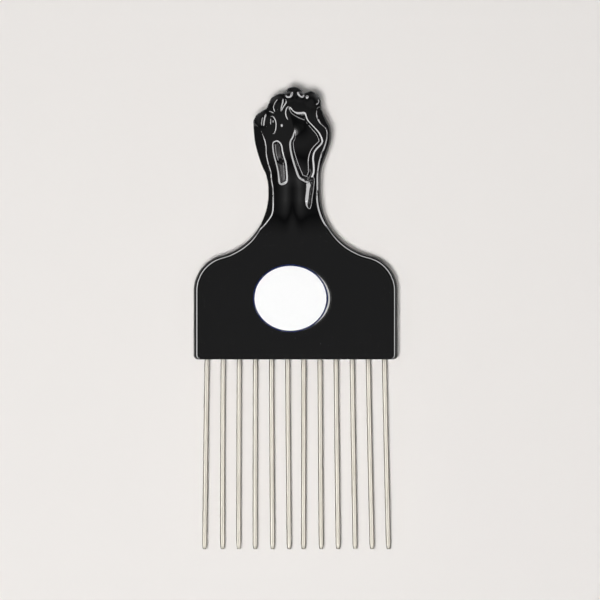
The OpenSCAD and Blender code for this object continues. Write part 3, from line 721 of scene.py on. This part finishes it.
    def flank(self, p, outline):
        """How far the face has fallen down the steep flank round the hand."""
        gap, seg, along = line_gap(p, outline)
        width = self.flank_width(outline)
        here = width[seg] + along * (width[seg + 1] - width[seg])
        v = self.height_share(p[:, 1])
        left = p[:, :1] < self.hub[0]
        start, end = np.where(left, *BROW_SHARES).T
        whole = 1 - smooth(v, start, end)
        brow = np.where(left[:, 0], self.f.brow, self.f.right_brow) * whole
        turn = self.f.sharp_turn + (self.f.turn - self.f.sharp_turn) * whole
        past = here - gap + turn + brow / 2
        slope = math.tan(self.f.flank_angle)
        return self.flank_share(p[:, 1]) * wall_fall(past, brow, BEVEL, slope, turn)

    def palm_depth(self, p):
        """The depth of the large hollow's floor, which leans down to its lower right."""
        left, right = self.palm.loop[:, 0].min(), self.palm.loop[:, 0].max()
        bottom, top = self.palm.loop[:, 1].min(), self.palm.loop[:, 1].max()
        across, low = smooth(p[:, 0], left, right), smooth(p[:, 1], top, bottom)
        return self.f.palm_d + self.f.palm_tilt * across * low + self.f.palm_drop * low ** DROP_POWER

    def tendon_depth(self, p):
        """The depth of the small hollow's floor, which leans one way at its top and the other way below."""
        a, b = self.hand_points(TENDON_LINE_SHARES)
        ab = (b - a) / np.linalg.norm(b - a)
        along = np.dot(p - a, ab) / np.linalg.norm(b - a)
        most = 2 * self.f.bevel_w
        gap = np.clip(ab[0] * (p - a)[:, 1] - ab[1] * (p - a)[:, 0], -most, most)
        top, low = math.tan(self.f.tendon_lean), math.tan(self.f.tendon_low_lean)
        lean = top - (top + low) * smooth(along, *LEAN_SHARES)
        return self.f.tendon_d + lean * gap

    def skin_lines(self, p):
        """Fine lines of the skin: small ridges that run out at both ends."""
        lines = np.zeros(len(p))
        for half, line in self.strokes:
            near = np.all((p > line.min(0) - 2 * half) & (p < line.max(0) + 2 * half), axis=1)
            if not near.any():
                continue
            gap, seg, along = line_gap(p[near], line)
            run = (seg + along) / (len(line) - 1)
            wide = half * (LINE_END + (1 - LINE_END) * smooth(np.minimum(run, 1 - run), 0, LINE_RUN))
            ridge = soft_max(BEVEL * (wide - gap), np.zeros_like(gap), LINE_ROUND * half)
            lines[near] = np.maximum(lines[near], ridge)
        return lines

    def front_height(self, p, outline):
        """How high the front face stands above the parting line at each point."""
        form = self.base(p)
        high = p[:, 1] > self.neck_y + FLANK_SHARES[0] * self.hand_h
        if not high.any():
            return form
        q = p[high]
        f = self.f
        bumps = np.zeros(len(q))
        for u, v, r in KNUCKLE_SHARES:
            d = np.linalg.norm(q - self.hand_points((u, v)), axis=1) / (r * f.hand_w)
            bumps = np.maximum(bumps, np.maximum(0, 1 - d * d) ** 2)
        z = form[high] + f.knuckle_rise * bumps - self.flank(q, outline)
        palm = soft_min(self.palm.fall(q), self.palm_depth(q), f.foot)
        stem = soft_min(self.stem.fall(q), f.stem_d, f.sharp_foot)
        tendon = soft_min(self.tendon.fall(q), self.tendon_depth(q), f.sharp_foot)
        form[high] = z - np.maximum(palm, stem) - tendon + self.skin_lines(q)
        return form

    def feature_points(self, outline, way, step):
        """Points along every turn of the carved face, which keep its lines clean in the mesh."""
        lines = []
        for hollow, depth in ((self.palm, self.palm_depth), (self.tendon, self.tendon_depth)):
            lines += hollow.rows(depth)
        # the groove is too narrow for rows at its foot, so it has only those of its bevel
        lines += self.stem.rows(lambda p: np.full(len(p), self.f.stem_d))[:-len(FOOT_ROWS)]
        for half, line in self.strokes:
            lines += [beside(line, k * half, False) for k in LINE_ROWS]
        turn, brow = self.f.turn, self.f.brow
        width = self.flank_width(outline)
        high = self.flank_share(outline[:, 1]) > FLANK_SEEN
        for out in (turn + brow / 2, brow / 2, 0, -brow / 2, -turn - brow / 2):
            lines.append((outline + way * (width + out)[:, None])[high])
        pts = np.vstack([spaced(line, step) for line in lines])
        _, first = np.unique(np.round(pts / (MERGE_SHARE * step)).astype(int), axis=0, return_index=True)
        return pts[np.sort(first)]

    def rear_height(self, p, outline):
        """How far the rear face stands below the parting line at each point."""
        z = np.full(len(p), PART_Z)
        high = p[:, 1] > self.neck_y
        if high.any():
            q = p[high]
            cut = np.max([bell(line_gap(q, line)[0], self.f.finger_w) for line in self.fingers], axis=0)
            z[high] -= self.f.finger_d * cut
        return z


# Mesh building

class Shell:
    """Points and faces of a closed mesh, with points shared where they meet."""

    def __init__(self):
        self.points = []
        self.faces = []

    def add(self, pts):
        """Adds points and gives their numbers."""
        start = sum(len(p) for p in self.points)
        self.points.append(np.asarray(pts, float))
        return np.arange(start, start + len(pts))

    def strip(self, a, b, closed=False):
        """Joins two rows of points with four-sided faces."""
        n = len(a) if closed else len(a) - 1
        for i in range(n):
            j = (i + 1) % len(a)
            self.faces.append((a[i], a[j], b[j], b[i]))

    def fill(self, loops, extra, plane, lift):
        """Fills the space inside the first loop and outside the others with triangles.

        loops are lists of point numbers, extra holds more places in the plane, and lift gives full points
        for those.
        """
        all_pts = np.vstack(self.points)
        ids = np.concatenate(loops)
        flat = [Vector(all_pts[i][list(plane)]) for i in ids]
        edges = []
        start = 0
        for loop in loops:
            n = len(loop)
            edges += [(start + i, start + (i + 1) % n) for i in range(n)]
            start += n
        flat += [Vector(p) for p in extra]
        _, _, tris, origin, _, _ = delaunay_2d_cdt(flat, edges, [], 1, 1e-9)
        extra_ids = self.add(lift(np.asarray(extra, float))) if len(extra) else np.array([], int)
        number = np.concatenate([ids, extra_ids]).astype(int)
        first = np.array([made[0] for made in origin])
        tris = number[first[np.array(tris)]]
        places = np.vstack(self.points)[:, list(plane)]
        for hole in loops[1:]:
            tris = tris[~in_loop(places[tris].mean(1), places[hole])]
        self.faces += tris.tolist()

    def build(self, name, placed):
        """Makes the object, with every face turned outwards."""
        mesh = bpy.data.meshes.new(name)
        faces = [tuple(map(int, face)) for face in self.faces]
        mesh.from_pydata(placed(np.vstack(self.points)).tolist(), [], faces)
        bm = bmesh.new()
        bm.from_mesh(mesh)
        bmesh.ops.remove_doubles(bm, verts=bm.verts, dist=WELD)
        bmesh.ops.dissolve_degenerate(bm, dist=WELD, edges=bm.edges)
        loose = [v for v in bm.verts if not v.link_faces]
        bmesh.ops.delete(bm, geom=loose, context="VERTS")
        bmesh.ops.recalc_face_normals(bm, faces=bm.faces)
        bm.to_mesh(mesh)
        bm.free()
        mesh.shade_smooth()
        obj = bpy.data.objects.new(name, mesh)
        bpy.context.scene.collection.objects.link(obj)
        return obj


def full_turn(points):
    """Angles evenly round a full turn."""
    return np.linspace(0, 2 * math.pi, points + 1)[:-1]


def oval(middle, half, out, z, points):
    """A ring of points round an oval, moved outwards by out, at a height z."""
    turn = full_turn(points)
    return np.column_stack([middle[0] + (half[0] + out) * np.cos(turn),
                            middle[1] + (half[1] + out) * np.sin(turn), np.full(points, z)])


def tine_axes():
    """Each tine's place at the bottom edge and its lean."""
    most = bpy.context.scene.pick_tines.lean
    made = []
    for i, name in enumerate(TINES):
        low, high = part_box(name)
        lean = most * (2 * i / (len(TINES) - 1) - 1)
        middle_y = (low.y + high.y) / 2 - EDGE_Y
        made.append(((low.x + high.x) / 2 + middle_y * math.tan(lean), lean))
    return made


def edge_rings(shell, form, pts, way, height):
    """Rings from the groove of the parting line up the side and over its rounded edge on to the face."""
    end_r, seam = form.s.end_r, form.s.seam
    # rows near the bottom edge are drawn in, which rounds that edge
    y = pts[:, 1]
    inset = np.where(y < end_r, end_r - np.sqrt(np.maximum(0, end_r ** 2 - (end_r - y) ** 2)), 0)
    r = form.edge_at(pts)
    centre = pts + way * r[:, None]

    def ring_at(angle):
        """The ring at an angle from 0, on the side, to a right angle, on the face."""
        flat = centre - way * ((r - inset) * math.cos(angle))[:, None]
        return np.column_stack([flat, height(flat, pts) - r + (r - inset) * math.sin(angle)])

    wall = ring_at(0)[:, :2]
    rings = [shell.add(np.column_stack([wall + way * (depth * seam), np.full(len(wall), z * seam)]))
             for depth, z in SEAM_ROWS]
    rings += [shell.add(ring_at(angle)) for angle in np.linspace(0, math.pi / 2, EDGE_RINGS)]
    inner = centre + way * form.s.face_step
    rings.append(shell.add(np.column_stack([inner, height(inner, pts) - inset])))
    for a, b in zip(rings, rings[1:]):
        shell.strip(a, b)
    return rings


def face_points(form, pts, way, ring, front):
    """Points on the face inside a ring: rows along the carved lines, and between them a grid."""
    step = form.s.spacing * (1 if front else REAR_COARSER) * 1
    xs = np.arange(-BODY_W / 2, BODY_W / 2, step)
    low = RISE_SHARES[0] if front else REAR_GRID_SHARE
    ys = np.arange(form.neck_y * low, HAND_TOP, step * math.sqrt(3) / 2)
    grid = np.array([(x + (step / 2 if j % 2 else 0), y) for j, y in enumerate(ys) for x in xs])
    # only every third point below the neck, where nothing is carved
    grid = grid[(grid[:, 1] > form.neck_y * CARVED_SHARE) | (np.arange(len(grid)) % 3 == 0)]
    if front:
        lines = form.feature_points(pts, way, LINE_STEP * step)
        lines = lines[in_loop(lines, ring)]
        grid = np.vstack([lines, grid[nearest(grid, lines)[0] > LINE_CLEAR * step]])
    grid = grid[in_loop(grid, ring)]
    return grid[line_gap(grid, ring)[0] > RING_CLEAR * step]


def half_shell(name, front):
    """One half of the handle as a closed mesh, with a hole for each tine."""
    form = HandleForm(bpy.context.scene.pick_handle, bpy.context.scene.pick_fist)
    pts, way = form.outline()
    height = form.front_height if front else form.rear_height
    shell = Shell()
    rings = edge_rings(shell, form, pts, way, height)

    # the rounded bottom edge, straight across the body
    top = rings[-1]
    for i in range(END_POINTS):
        shell.faces.append((top[i], top[i + 1], top[-2 - i], top[-1 - i]))

    loop = top[END_POINTS:len(top) - END_POINTS]
    inside = face_points(form, pts, way, np.vstack(shell.points)[loop][:, :2], front)
    pad = pad_rings(shell, form.s) if front else []
    shell.fill([loop] + pad[:1], inside, (0, 1), lambda p: np.column_stack([p, height(p, pts)]))
    for a, b in zip(pad, pad[1:]):
        shell.strip(a, b, closed=True)
    if pad:
        shell.fill(pad[-1:], [], (0, 1), None)

    end_and_parting(shell, rings, form)
    obj = shell.build(name, lambda p: p * (1, 1, 1 if front else -1) + (0, EDGE_Y, PART_Z))
    obj.data.set_sharp_from_angle(angle=CREASE)
    return obj


def pad_rings(shell, handle):
    """The raised oval pad: rings from its foot on the face to its flat top."""
    rise = LABEL_BOX[0].z - PART_Z - handle.front_d
    foot = handle.pad_foot
    turn = np.linspace(0, PAD_WALL, ARC_POINTS)
    profile = [(foot * (1 - math.sin(a)), foot * (1 - math.cos(a))) for a in turn]
    steep = math.tan(PAD_WALL)
    outer = np.linspace(0, 2 * handle.pad_turn + handle.pad_rim, BEVEL_POINTS)
    fallen = wall_fall(outer, handle.pad_rim, BEVEL, steep, handle.pad_turn)
    wall = (rise - profile[-1][1] - fallen[-1]) / steep
    out = outer - outer[-1] - wall
    profile += [(o, rise - down) for o, down in zip(out[::-1], fallen[::-1])]
    middle, half = (handle.pad_x, handle.pad_y), (handle.pad_w / 2, handle.pad_h / 2)
    return [shell.add(oval(middle, half, out, handle.front_d + z, PAD_POINTS)) for out, z in profile]


def end_and_parting(shell, rings, form):
    """The bottom face with its half-round holes, their channels, and the flat parting face."""
    handle = form.s
    hole_r = TINE_R + handle.hole_gap
    turn = np.linspace(math.pi, 0, HOLE_POINTS)
    end_loop = [ring[0] for ring in rings] + [ring[-1] for ring in rings][::-1]
    part_loop = list(rings[0])
    for x, _ in reversed(tine_axes()):
        steps = ((hole_r + handle.mouth, 0), (hole_r, handle.mouth), (hole_r, handle.hole_depth))
        rows = [shell.add(np.column_stack([x + r * np.cos(turn), np.full(len(turn), y), r * np.sin(turn)]))
                for r, y in steps]
        for a, b in zip(rows, rows[1:]):
            shell.strip(a, b)
        shell.fill([rows[-1]], [], (0, 2), None)
        end_loop += list(rows[0][::-1])
        part_loop += [row[-1] for row in rows] + [row[0] for row in rows[::-1]]
    shell.fill([np.array(end_loop)], [], (0, 2), None)
    shell.fill([np.array(part_loop)], [], (0, 1), None)


def lathe(name, profile, turns, place):
    """A closed turned piece: profile holds (radius, distance along the axis) from one end to the other."""
    shell = Shell()
    turn = full_turn(turns)
    rings = [shell.add([(0, along, 0)]) if r < 1e-9 else
             shell.add(np.column_stack([r * np.cos(turn), np.full(turns, along), r * np.sin(turn)]))
             for r, along in profile]
    for a, b in zip(rings, rings[1:]):
        if len(a) == 1:
            shell.faces += [(a[0], b[(i + 1) % turns], b[i]) for i in range(turns)]
        elif len(b) == 1:
            shell.faces += [(a[i], a[(i + 1) % turns], b[0]) for i in range(turns)]
        else:
            shell.strip(a, b, closed=True)
    return shell.build(name, place)


def wire_profile(s, root, end):
    """A wire's side from its root to the flat end of its tip, as pairs of a radius and a distance."""
    side = [(TINE_R, y) for y in np.linspace(root, end + s.tip_len, WIRE_ROWS)]
    tip = [(TINE_R + (s.tip_r - TINE_R) * a, end + s.tip_len * (1 - a) + s.nose * a)
           for a in np.linspace(0, 1, TIP_ROWS)[1:]]
    nose = [(s.tip_r - s.nose * (1 - math.cos(a)), end + s.nose * (1 - math.sin(a)))
            for a in np.linspace(0, math.pi / 2, NOSE_ROWS)[1:]]
    return [(0, root)] + side + tip + nose + [(0, end)]


def leaned(p, x, lean, sideways, end):
    """Points of an upright wire, bent sideways and leaned, at their place in the pick."""
    bent = x + sideways * np.clip(p[:, 1] / end, 0, 1) ** BEND_POWER
    c, s = math.cos(lean), math.sin(lean)
    return np.column_stack([bent + p[:, 0] * c - p[:, 1] * s, EDGE_Y + p[:, 0] * s + p[:, 1] * c,
                            PART_Z + p[:, 2]])


# Materials

def feed(tree, node, inputs):
    """Gives a node's inputs their numbers, or links them to other nodes."""
    for key, value in inputs.items():
        if isinstance(value, bpy.types.NodeSocket):
            tree.links.new(value, node.inputs[key])
        else:
            node.inputs[key].default_value = value


def add_node(tree, kind, inputs=None, **settings):
    """A node with its settings and its input values or links."""
    node = tree.nodes.new(kind)
    for key, value in settings.items():
        setattr(node, key, value)
    feed(tree, node, inputs or {})
    return node


def new_material(name):
    """A material with an empty node tree, its output and a Principled BSDF."""
    made = bpy.data.materials.new(name)
    made.use_nodes = True
    tree = made.node_tree
    tree.nodes.clear()
    shader = tree.nodes.new("ShaderNodeBsdfPrincipled")
    add_node(tree, "ShaderNodeOutputMaterial", {"Surface": shader.outputs["BSDF"]})
    return made, tree, shader


def object_place(tree):
    """Where each point lies on the pick."""
    return add_node(tree, "ShaderNodeTexCoord").outputs["Object"]


def stretched(tree, place, scale, angle=0):
    """Places drawn out along a line, so that noise on them makes streaks."""
    return add_node(tree, "ShaderNodeMapping", {
        "Vector": place, "Rotation": (0, 0, angle), "Scale": (1, scale, 1)}).outputs["Vector"]


def noise(tree, place, scale, detail, roughness=0.5):
    """Noise of a scale at each place."""
    return add_node(tree, "ShaderNodeTexNoise", {
        "Vector": place, "Scale": scale, "Detail": detail, "Roughness": roughness}).outputs["Fac"]


def calculate(tree, operation, *values):
    """What a Math node makes of numbers or other nodes' results."""
    return add_node(tree, "ShaderNodeMath", dict(enumerate(values)), operation=operation).outputs[0]


def carried(tree, value, low, high, to_low=0, to_high=1):
    """A value carried from one range to another."""
    node = add_node(tree, "ShaderNodeMapRange", {
        "Value": value, "From Min": low, "From Max": high, "To Min": to_low, "To Max": to_high})
    return node.outputs["Result"]


def mixed(tree, factor, *colours):
    """A colour between two others, each a linear colour or another node's result."""
    a, b = [c if isinstance(c, bpy.types.NodeSocket) else (*c, 1) for c in colours]
    node = add_node(tree, "ShaderNodeMix", {"Factor": factor, "A": a, "B": b}, data_type="RGBA")
    return node.outputs["Result"]


def uneven(tree, factor, tint, keeps):
    """A colour that is darker where the factor is high: keeps says what is left of each part of it."""
    return mixed(tree, factor, tint, [c * left for c, left in zip(tint, keeps)])


def bumped(tree, height, strength, distance):
    """The normal of a surface with fine heights."""
    return add_node(tree, "ShaderNodeBump", {
        "Strength": strength, "Distance": distance, "Height": height}).outputs["Normal"]


def group_tree(name, inputs, outputs):
    """A shader node group with named float inputs and outputs."""
    tree = bpy.data.node_groups.new(name, "ShaderNodeTree")
    for label, default in inputs.items():
        socket = tree.interface.new_socket(label, in_out="INPUT", socket_type="NodeSocketFloat")
        socket.default_value = default
    for label in outputs:
        tree.interface.new_socket(label, in_out="OUTPUT", socket_type="NodeSocketFloat")
    return tree, tree.nodes.new("NodeGroupInput"), tree.nodes.new("NodeGroupOutput")


def mould_skin_group(name):
    """Moulded skin: the slow waviness of a cooled surface, hairline scratches and specks of dust."""
    tree, given, made = group_tree(name, {"Wave size": WAVES, "Scratches": 0.5, "Dust": 0.3},
                                   ("Height", "Scratch mask", "Dust mask"))
    place = object_place(tree)
    lines = [carried(tree, noise(tree, stretched(tree, place, SCRATCH_STRETCH, turned), scale, 1),
                     *SCRATCH_RANGE) for turned, scale in SCRATCH_LINES]
    patches = carried(tree, noise(tree, place, PATCHES, 2), *PATCH_RANGE)
    some = calculate(tree, "MULTIPLY", calculate(tree, "MAXIMUM", *lines), patches)
    cells = add_node(tree, "ShaderNodeTexVoronoi", {"Vector": place, "Scale": SPECKS}, feature="F1")
    speck = carried(tree, cells.outputs["Distance"], *SPECK_RANGE)
    chance = add_node(tree, "ShaderNodeSeparateColor", {"Color": cells.outputs["Color"]}).outputs["Red"]
    specks = calculate(tree, "MULTIPLY", speck, calculate(tree, "GREATER_THAN", chance, SPECK_CHANCE))
    feed(tree, made, {
        "Height": noise(tree, place, given.outputs["Wave size"], 2, 0.4),
        "Scratch mask": calculate(tree, "MULTIPLY", some, given.outputs["Scratches"]),
        "Dust mask": calculate(tree, "MULTIPLY", specks, given.outputs["Dust"])})
    return tree


def plastic_material(name, looks):
    """Glossy black moulded plastic."""
    made, tree, shader = new_material(name)
    skin = add_node(tree, "ShaderNodeGroup",
                    node_tree=made_once(bpy.data.node_groups, "moulded skin", mould_skin_group))
    feed(tree, skin, {"Scratches": looks.scratches, "Dust": looks.dust})
    height, scratch, dust = [skin.outputs[key] for key in ("Height", "Scratch mask", "Dust mask")]
    scored = calculate(tree, "MULTIPLY_ADD", scratch, SCRATCH_DULL, looks.gloss)
    heights = calculate(tree, "MULTIPLY_ADD", scratch, SCRATCH_HEIGHT, height)
    feed(tree, shader, {
        "Base Color": mixed(tree, dust, looks.plastic, looks.dust_colour),
        "Roughness": calculate(tree, "MULTIPLY_ADD", dust, DUST_DULL, scored),
        "IOR": looks.ior,
        "Normal": bumped(tree, heights, *SKIN_BUMP)})
    return made


def wire_material(name, looks):
    """Nickel-plated wire with fine drawing lines along it, darker where its tip is ground, and with painted
    shade on its sides.
    """
    made, tree, shader = new_material(name)
    place = object_place(tree)
    lines = noise(tree, stretched(tree, place, DRAWN_STRETCH), DRAWN, 3, 0.6)
    tone = uneven(tree, noise(tree, place, STAINS, 3), looks.wire, STAIN_KEEPS)
    along = add_node(tree, "ShaderNodeSeparateXYZ", {"Vector": place}).outputs["Y"]
    near_tip = carried(tree, along, TINE_BOX[0].y + looks.tip_fade, TINE_BOX[0].y)
    feed(tree, shader, {
        "Base Color": mixed(tree, near_tip, tone, looks.wire_tip),
        "Metallic": 1,
        # the dark edge tint paints shade on the wire's sides
        "Specular Tint": (*looks.wire_edge_painted_shade, 1),
        "Roughness": carried(tree, lines, 0.3, 0.7, *[looks.wire_rough * part for part in WIRE_SPREAD]),
        "Normal": bumped(tree, lines, *WIRE_BUMP)})
    return made


def label_material(name, tint, rough):
    """Printed film: an even colour with a faint film texture."""
    made, tree, shader = new_material(name)
    film = noise(tree, object_place(tree), FILM, 3)
    feed(tree, shader, {
        "Base Color": uneven(tree, film, tint, FILM_KEEPS),
        "Roughness": carried(tree, film, 0, 1, *[rough * part for part in FILM_SPREAD]),
        "Normal": bumped(tree, film, *FILM_BUMP)})
    return made


def floor_material(looks):
    """Pale matte floor."""
    made, tree, shader = new_material("pale floor")
    grain = noise(tree, object_place(tree), GRAIN, 4)
    feed(tree, shader, {
        "Base Color": uneven(tree, grain, looks.floor, FLOOR_KEEPS), "Roughness": looks.floor_rough})
    return made


def made_once(store, name, make):
    """A material or node group of this name, made at its first use."""
    return store.get(name) or make(name)


def black_plastic():
    """The material that both halves of the handle share."""
    looks = bpy.context.scene.pick_looks
    return made_once(bpy.data.materials, "glossy black plastic", lambda name: plastic_material(name, looks))


def finish_piece(obj, node, material):
    """Gives a piece its material, hangs it under the root body and hides the solid that it stands in for."""
    obj.data.materials.append(material)
    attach(obj, "root")
    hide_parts(node)


# Operators

class PICK_OT_front_shell(bpy.types.Operator):
    """Builds the front half of the handle with the carved fist"""

    bl_idname = "pick.front_shell"
    bl_label = "Front Shell"

    def execute(self, context):
        finish_piece(half_shell("handle_front", True), "front_shell", black_plastic())
        return {"FINISHED"}


class PICK_OT_rear_shell(bpy.types.Operator):
    """Builds the rear half of the handle with the folded fingers"""

    bl_idname = "pick.rear_shell"
    bl_label = "Rear Shell"

    def execute(self, context):
        finish_piece(half_shell("handle_rear", False), "rear_shell", black_plastic())
        return {"FINISHED"}


class PICK_OT_tines(bpy.types.Operator):
    """Builds the wire tines with their turned-down tips"""

    bl_idname = "pick.tines"
    bl_label = "Tines"

    def execute(self, context):
        material = made_once(bpy.data.materials, "nickel-plated wire",
                             lambda name: wire_material(name, context.scene.pick_looks))
        for i, ((x, lean), node) in enumerate(zip(tine_axes(), TINES)):
            root, end = [(corner.y - EDGE_Y) / math.cos(lean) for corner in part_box(node)[::-1]]
            obj = lathe(f"wire_{i + 1:02d}", wire_profile(context.scene.pick_tines, root, end), WIRE_POINTS,
                        lambda p: leaned(p, x, lean, TIP_BENDS[i] * MM, end))
            finish_piece(obj, node, material)
        return {"FINISHED"}


class PICK_OT_label(bpy.types.Operator):
    """Builds the blank oval label with its dark edge line"""

    bl_idname = "pick.label"
    bl_label = "Label"

    def execute(self, context):
        s, looks = context.scene.pick_label, context.scene.pick_looks
        low, high = LABEL_BOX
        middle = (low + high) / 2 + Vector((s.shift_x, s.shift_y, 0))
        half = ((high.x - low.x) / 2 + s.grow, (high.y - low.y) / 2 + s.grow)
        profile = [(0, low.z)]
        profile += [(-s.edge_r * (1 - math.cos(a)), high.z - s.edge_r * (1 - math.sin(a)))
                    for a in np.linspace(0, math.pi / 2, ARC_POINTS)]
        profile += [(-s.rim, high.z), (-s.rim - s.rim_step, high.z)]
        shell = Shell()
        rings = [shell.add(oval(middle, half, out, z, LABEL_POINTS)) for out, z in profile]
        for a, b in zip(rings, rings[1:]):
            shell.strip(a, b, closed=True)
        for ring in (rings[-1], rings[0]):
            shell.fill([ring], [], (0, 1), None)
        obj = shell.build("blank_label", lambda p: p)
        finish_piece(obj, "label", label_material("white film", looks.paper, looks.paper_rough))
        obj.data.materials.append(label_material("navy print", looks.navy, looks.navy_rough))
        for face in obj.data.polygons:
            x, y, _ = face.center
            far = math.hypot((x - middle[0]) / (half[0] - s.rim), (y - middle[1]) / (half[1] - s.rim))
            face.material_index = int(far > 1)
        obj.modifiers.new("flat faces stay flat", "WEIGHTED_NORMAL").keep_sharp = True
        return {"FINISHED"}


class PICK_OT_studio(bpy.types.Operator):
    """Sets up the floor, the softboxes and the camera"""

    bl_idname = "pick.studio"
    bl_label = "Studio"

    def execute(self, context):
        scene, s = context.scene, context.scene.pick_studio
        self.floor(scene, s)
        self.lights(scene, s)
        self.dome(scene, s)
        data = bpy.data.cameras.new("camera")
        data.lens = data.sensor_width / s.view_w * s.camera_z
        data.clip_start, data.clip_end = 0.01, 20
        camera = bpy.data.objects.new("camera", data)
        camera.location = (s.view_x, s.view_y, PART_Z + scene.pick_handle.front_d + s.camera_z)
        scene.collection.objects.link(camera)
        scene.camera = camera
        scene.view_settings.view_transform = "Standard"
        return {"FINISHED"}

    def floor(self, scene, s):
        """A broad pale floor that the pick lies on, a hair below it."""
        mesh = bpy.data.meshes.new("floor")
        half = s.floor_half
        corners = [(-half, -half, 0), (half, -half, 0), (half, half, 0), (-half, half, 0)]
        mesh.from_pydata(corners, [], [(0, 1, 2, 3)])
        obj = bpy.data.objects.new("floor", mesh)
        obj.location.z = -s.floor_gap
        obj.data.materials.append(floor_material(scene.pick_looks))
        scene.collection.objects.link(obj)

    def area_light(self, scene, name, size, power, place):
        """A light that faces down and that the camera doesn't see."""
        data = bpy.data.lights.new(name, "AREA")
        data.size = size
        data.energy = power
        obj = bpy.data.objects.new(name, data)
        obj.location = place
        obj.visible_camera = False
        scene.collection.objects.link(obj)
        return obj

    def lights(self, scene, s):
        """Softboxes all round that show in the gloss, and a light above that lights what is matt."""
        for i, part in enumerate(SOFTBOX_SHARES):
            around = 2 * math.pi * i / len(SOFTBOX_SHARES)
            place = s.ring_r * Vector((math.cos(around) * math.cos(s.ring_up),
                                       math.sin(around) * math.cos(s.ring_up), math.sin(s.ring_up)))
            obj = self.area_light(scene, f"softbox_{i + 1}", s.box_w, s.power * part, place)
            obj.data.shape = "RECTANGLE"
            obj.data.size_y = s.box_h
            obj.rotation_euler = (-place).to_track_quat("-Z", "Y").to_euler()
            obj.visible_diffuse = False
        obj = self.area_light(scene, "top_light", s.key_w, s.key_power, (s.key_x, s.key_y, s.ring_r))
        obj.data.shape = "DISK"
        obj.visible_glossy = False

    def dome(self, scene, s):
        """A dim dome that shows only in the gloss, with a bright band as high as the softboxes."""
        world = bpy.data.worlds.new("dome")
        world.use_nodes = True
        tree = world.node_tree
        back = next(n for n in tree.nodes if n.type == "BACKGROUND")
        place = add_node(tree, "ShaderNodeTexCoord").outputs["Generated"]
        up = add_node(tree, "ShaderNodeSeparateXYZ", {"Vector": place}).outputs["Z"]
        ramp = add_node(tree, "ShaderNodeValToRGB", {"Fac": up})
        elements = ramp.color_ramp.elements
        while len(elements) < len(DOME_STOPS):
            elements.new(0.5)
        for element, (height, light) in zip(elements, DOME_STOPS):
            element.position = height
            element.color = (light, light, light, 1)
        feed(tree, back, {"Color": ramp.outputs["Color"], "Strength": s.dome})
        scene.world = world
        world.cycles_visibility.diffuse = False


class PICK_PT_panel(bpy.types.Panel):
    """Lists the sizes and the steps that build the pick"""

    bl_label = "Hair Pick"
    bl_idname = "PICK_PT_panel"
    bl_space_type = "VIEW_3D"
    bl_region_type = "UI"
    bl_category = "Hair Pick"

    def draw(self, context):
        for attribute, kind in GROUPS.items():
            box = self.layout.box()
            box.label(text=attribute.replace("pick_", "").capitalize())
            for key in kind.__annotations__:
                box.prop(getattr(context.scene, attribute), key)
        for operator in OPERATORS:
            self.layout.operator(operator.bl_idname)


OPERATORS = (PICK_OT_front_shell, PICK_OT_rear_shell, PICK_OT_tines, PICK_OT_label, PICK_OT_studio)


def register():
    """Registers the sizes, the operators and the panel."""
    for attribute, kind in GROUPS.items():
        bpy.utils.register_class(kind)
        setattr(bpy.types.Scene, attribute, PointerProperty(type=kind))
    for kind in (*OPERATORS, PICK_PT_panel):
        bpy.utils.register_class(kind)


def unregister():
    """Takes everything back out."""
    for kind in reversed((*OPERATORS, PICK_PT_panel)):
        bpy.utils.unregister_class(kind)
    for attribute, kind in reversed(GROUPS.items()):
        delattr(bpy.types.Scene, attribute)
        bpy.utils.unregister_class(kind)


def main():
    """Builds every piece, then the studio."""
    register()
    bpy.ops.pick.front_shell()
    bpy.ops.pick.rear_shell()
    bpy.ops.pick.tines()
    bpy.ops.pick.label()
    bpy.ops.pick.studio()


if __name__ == "__main__":
    main()
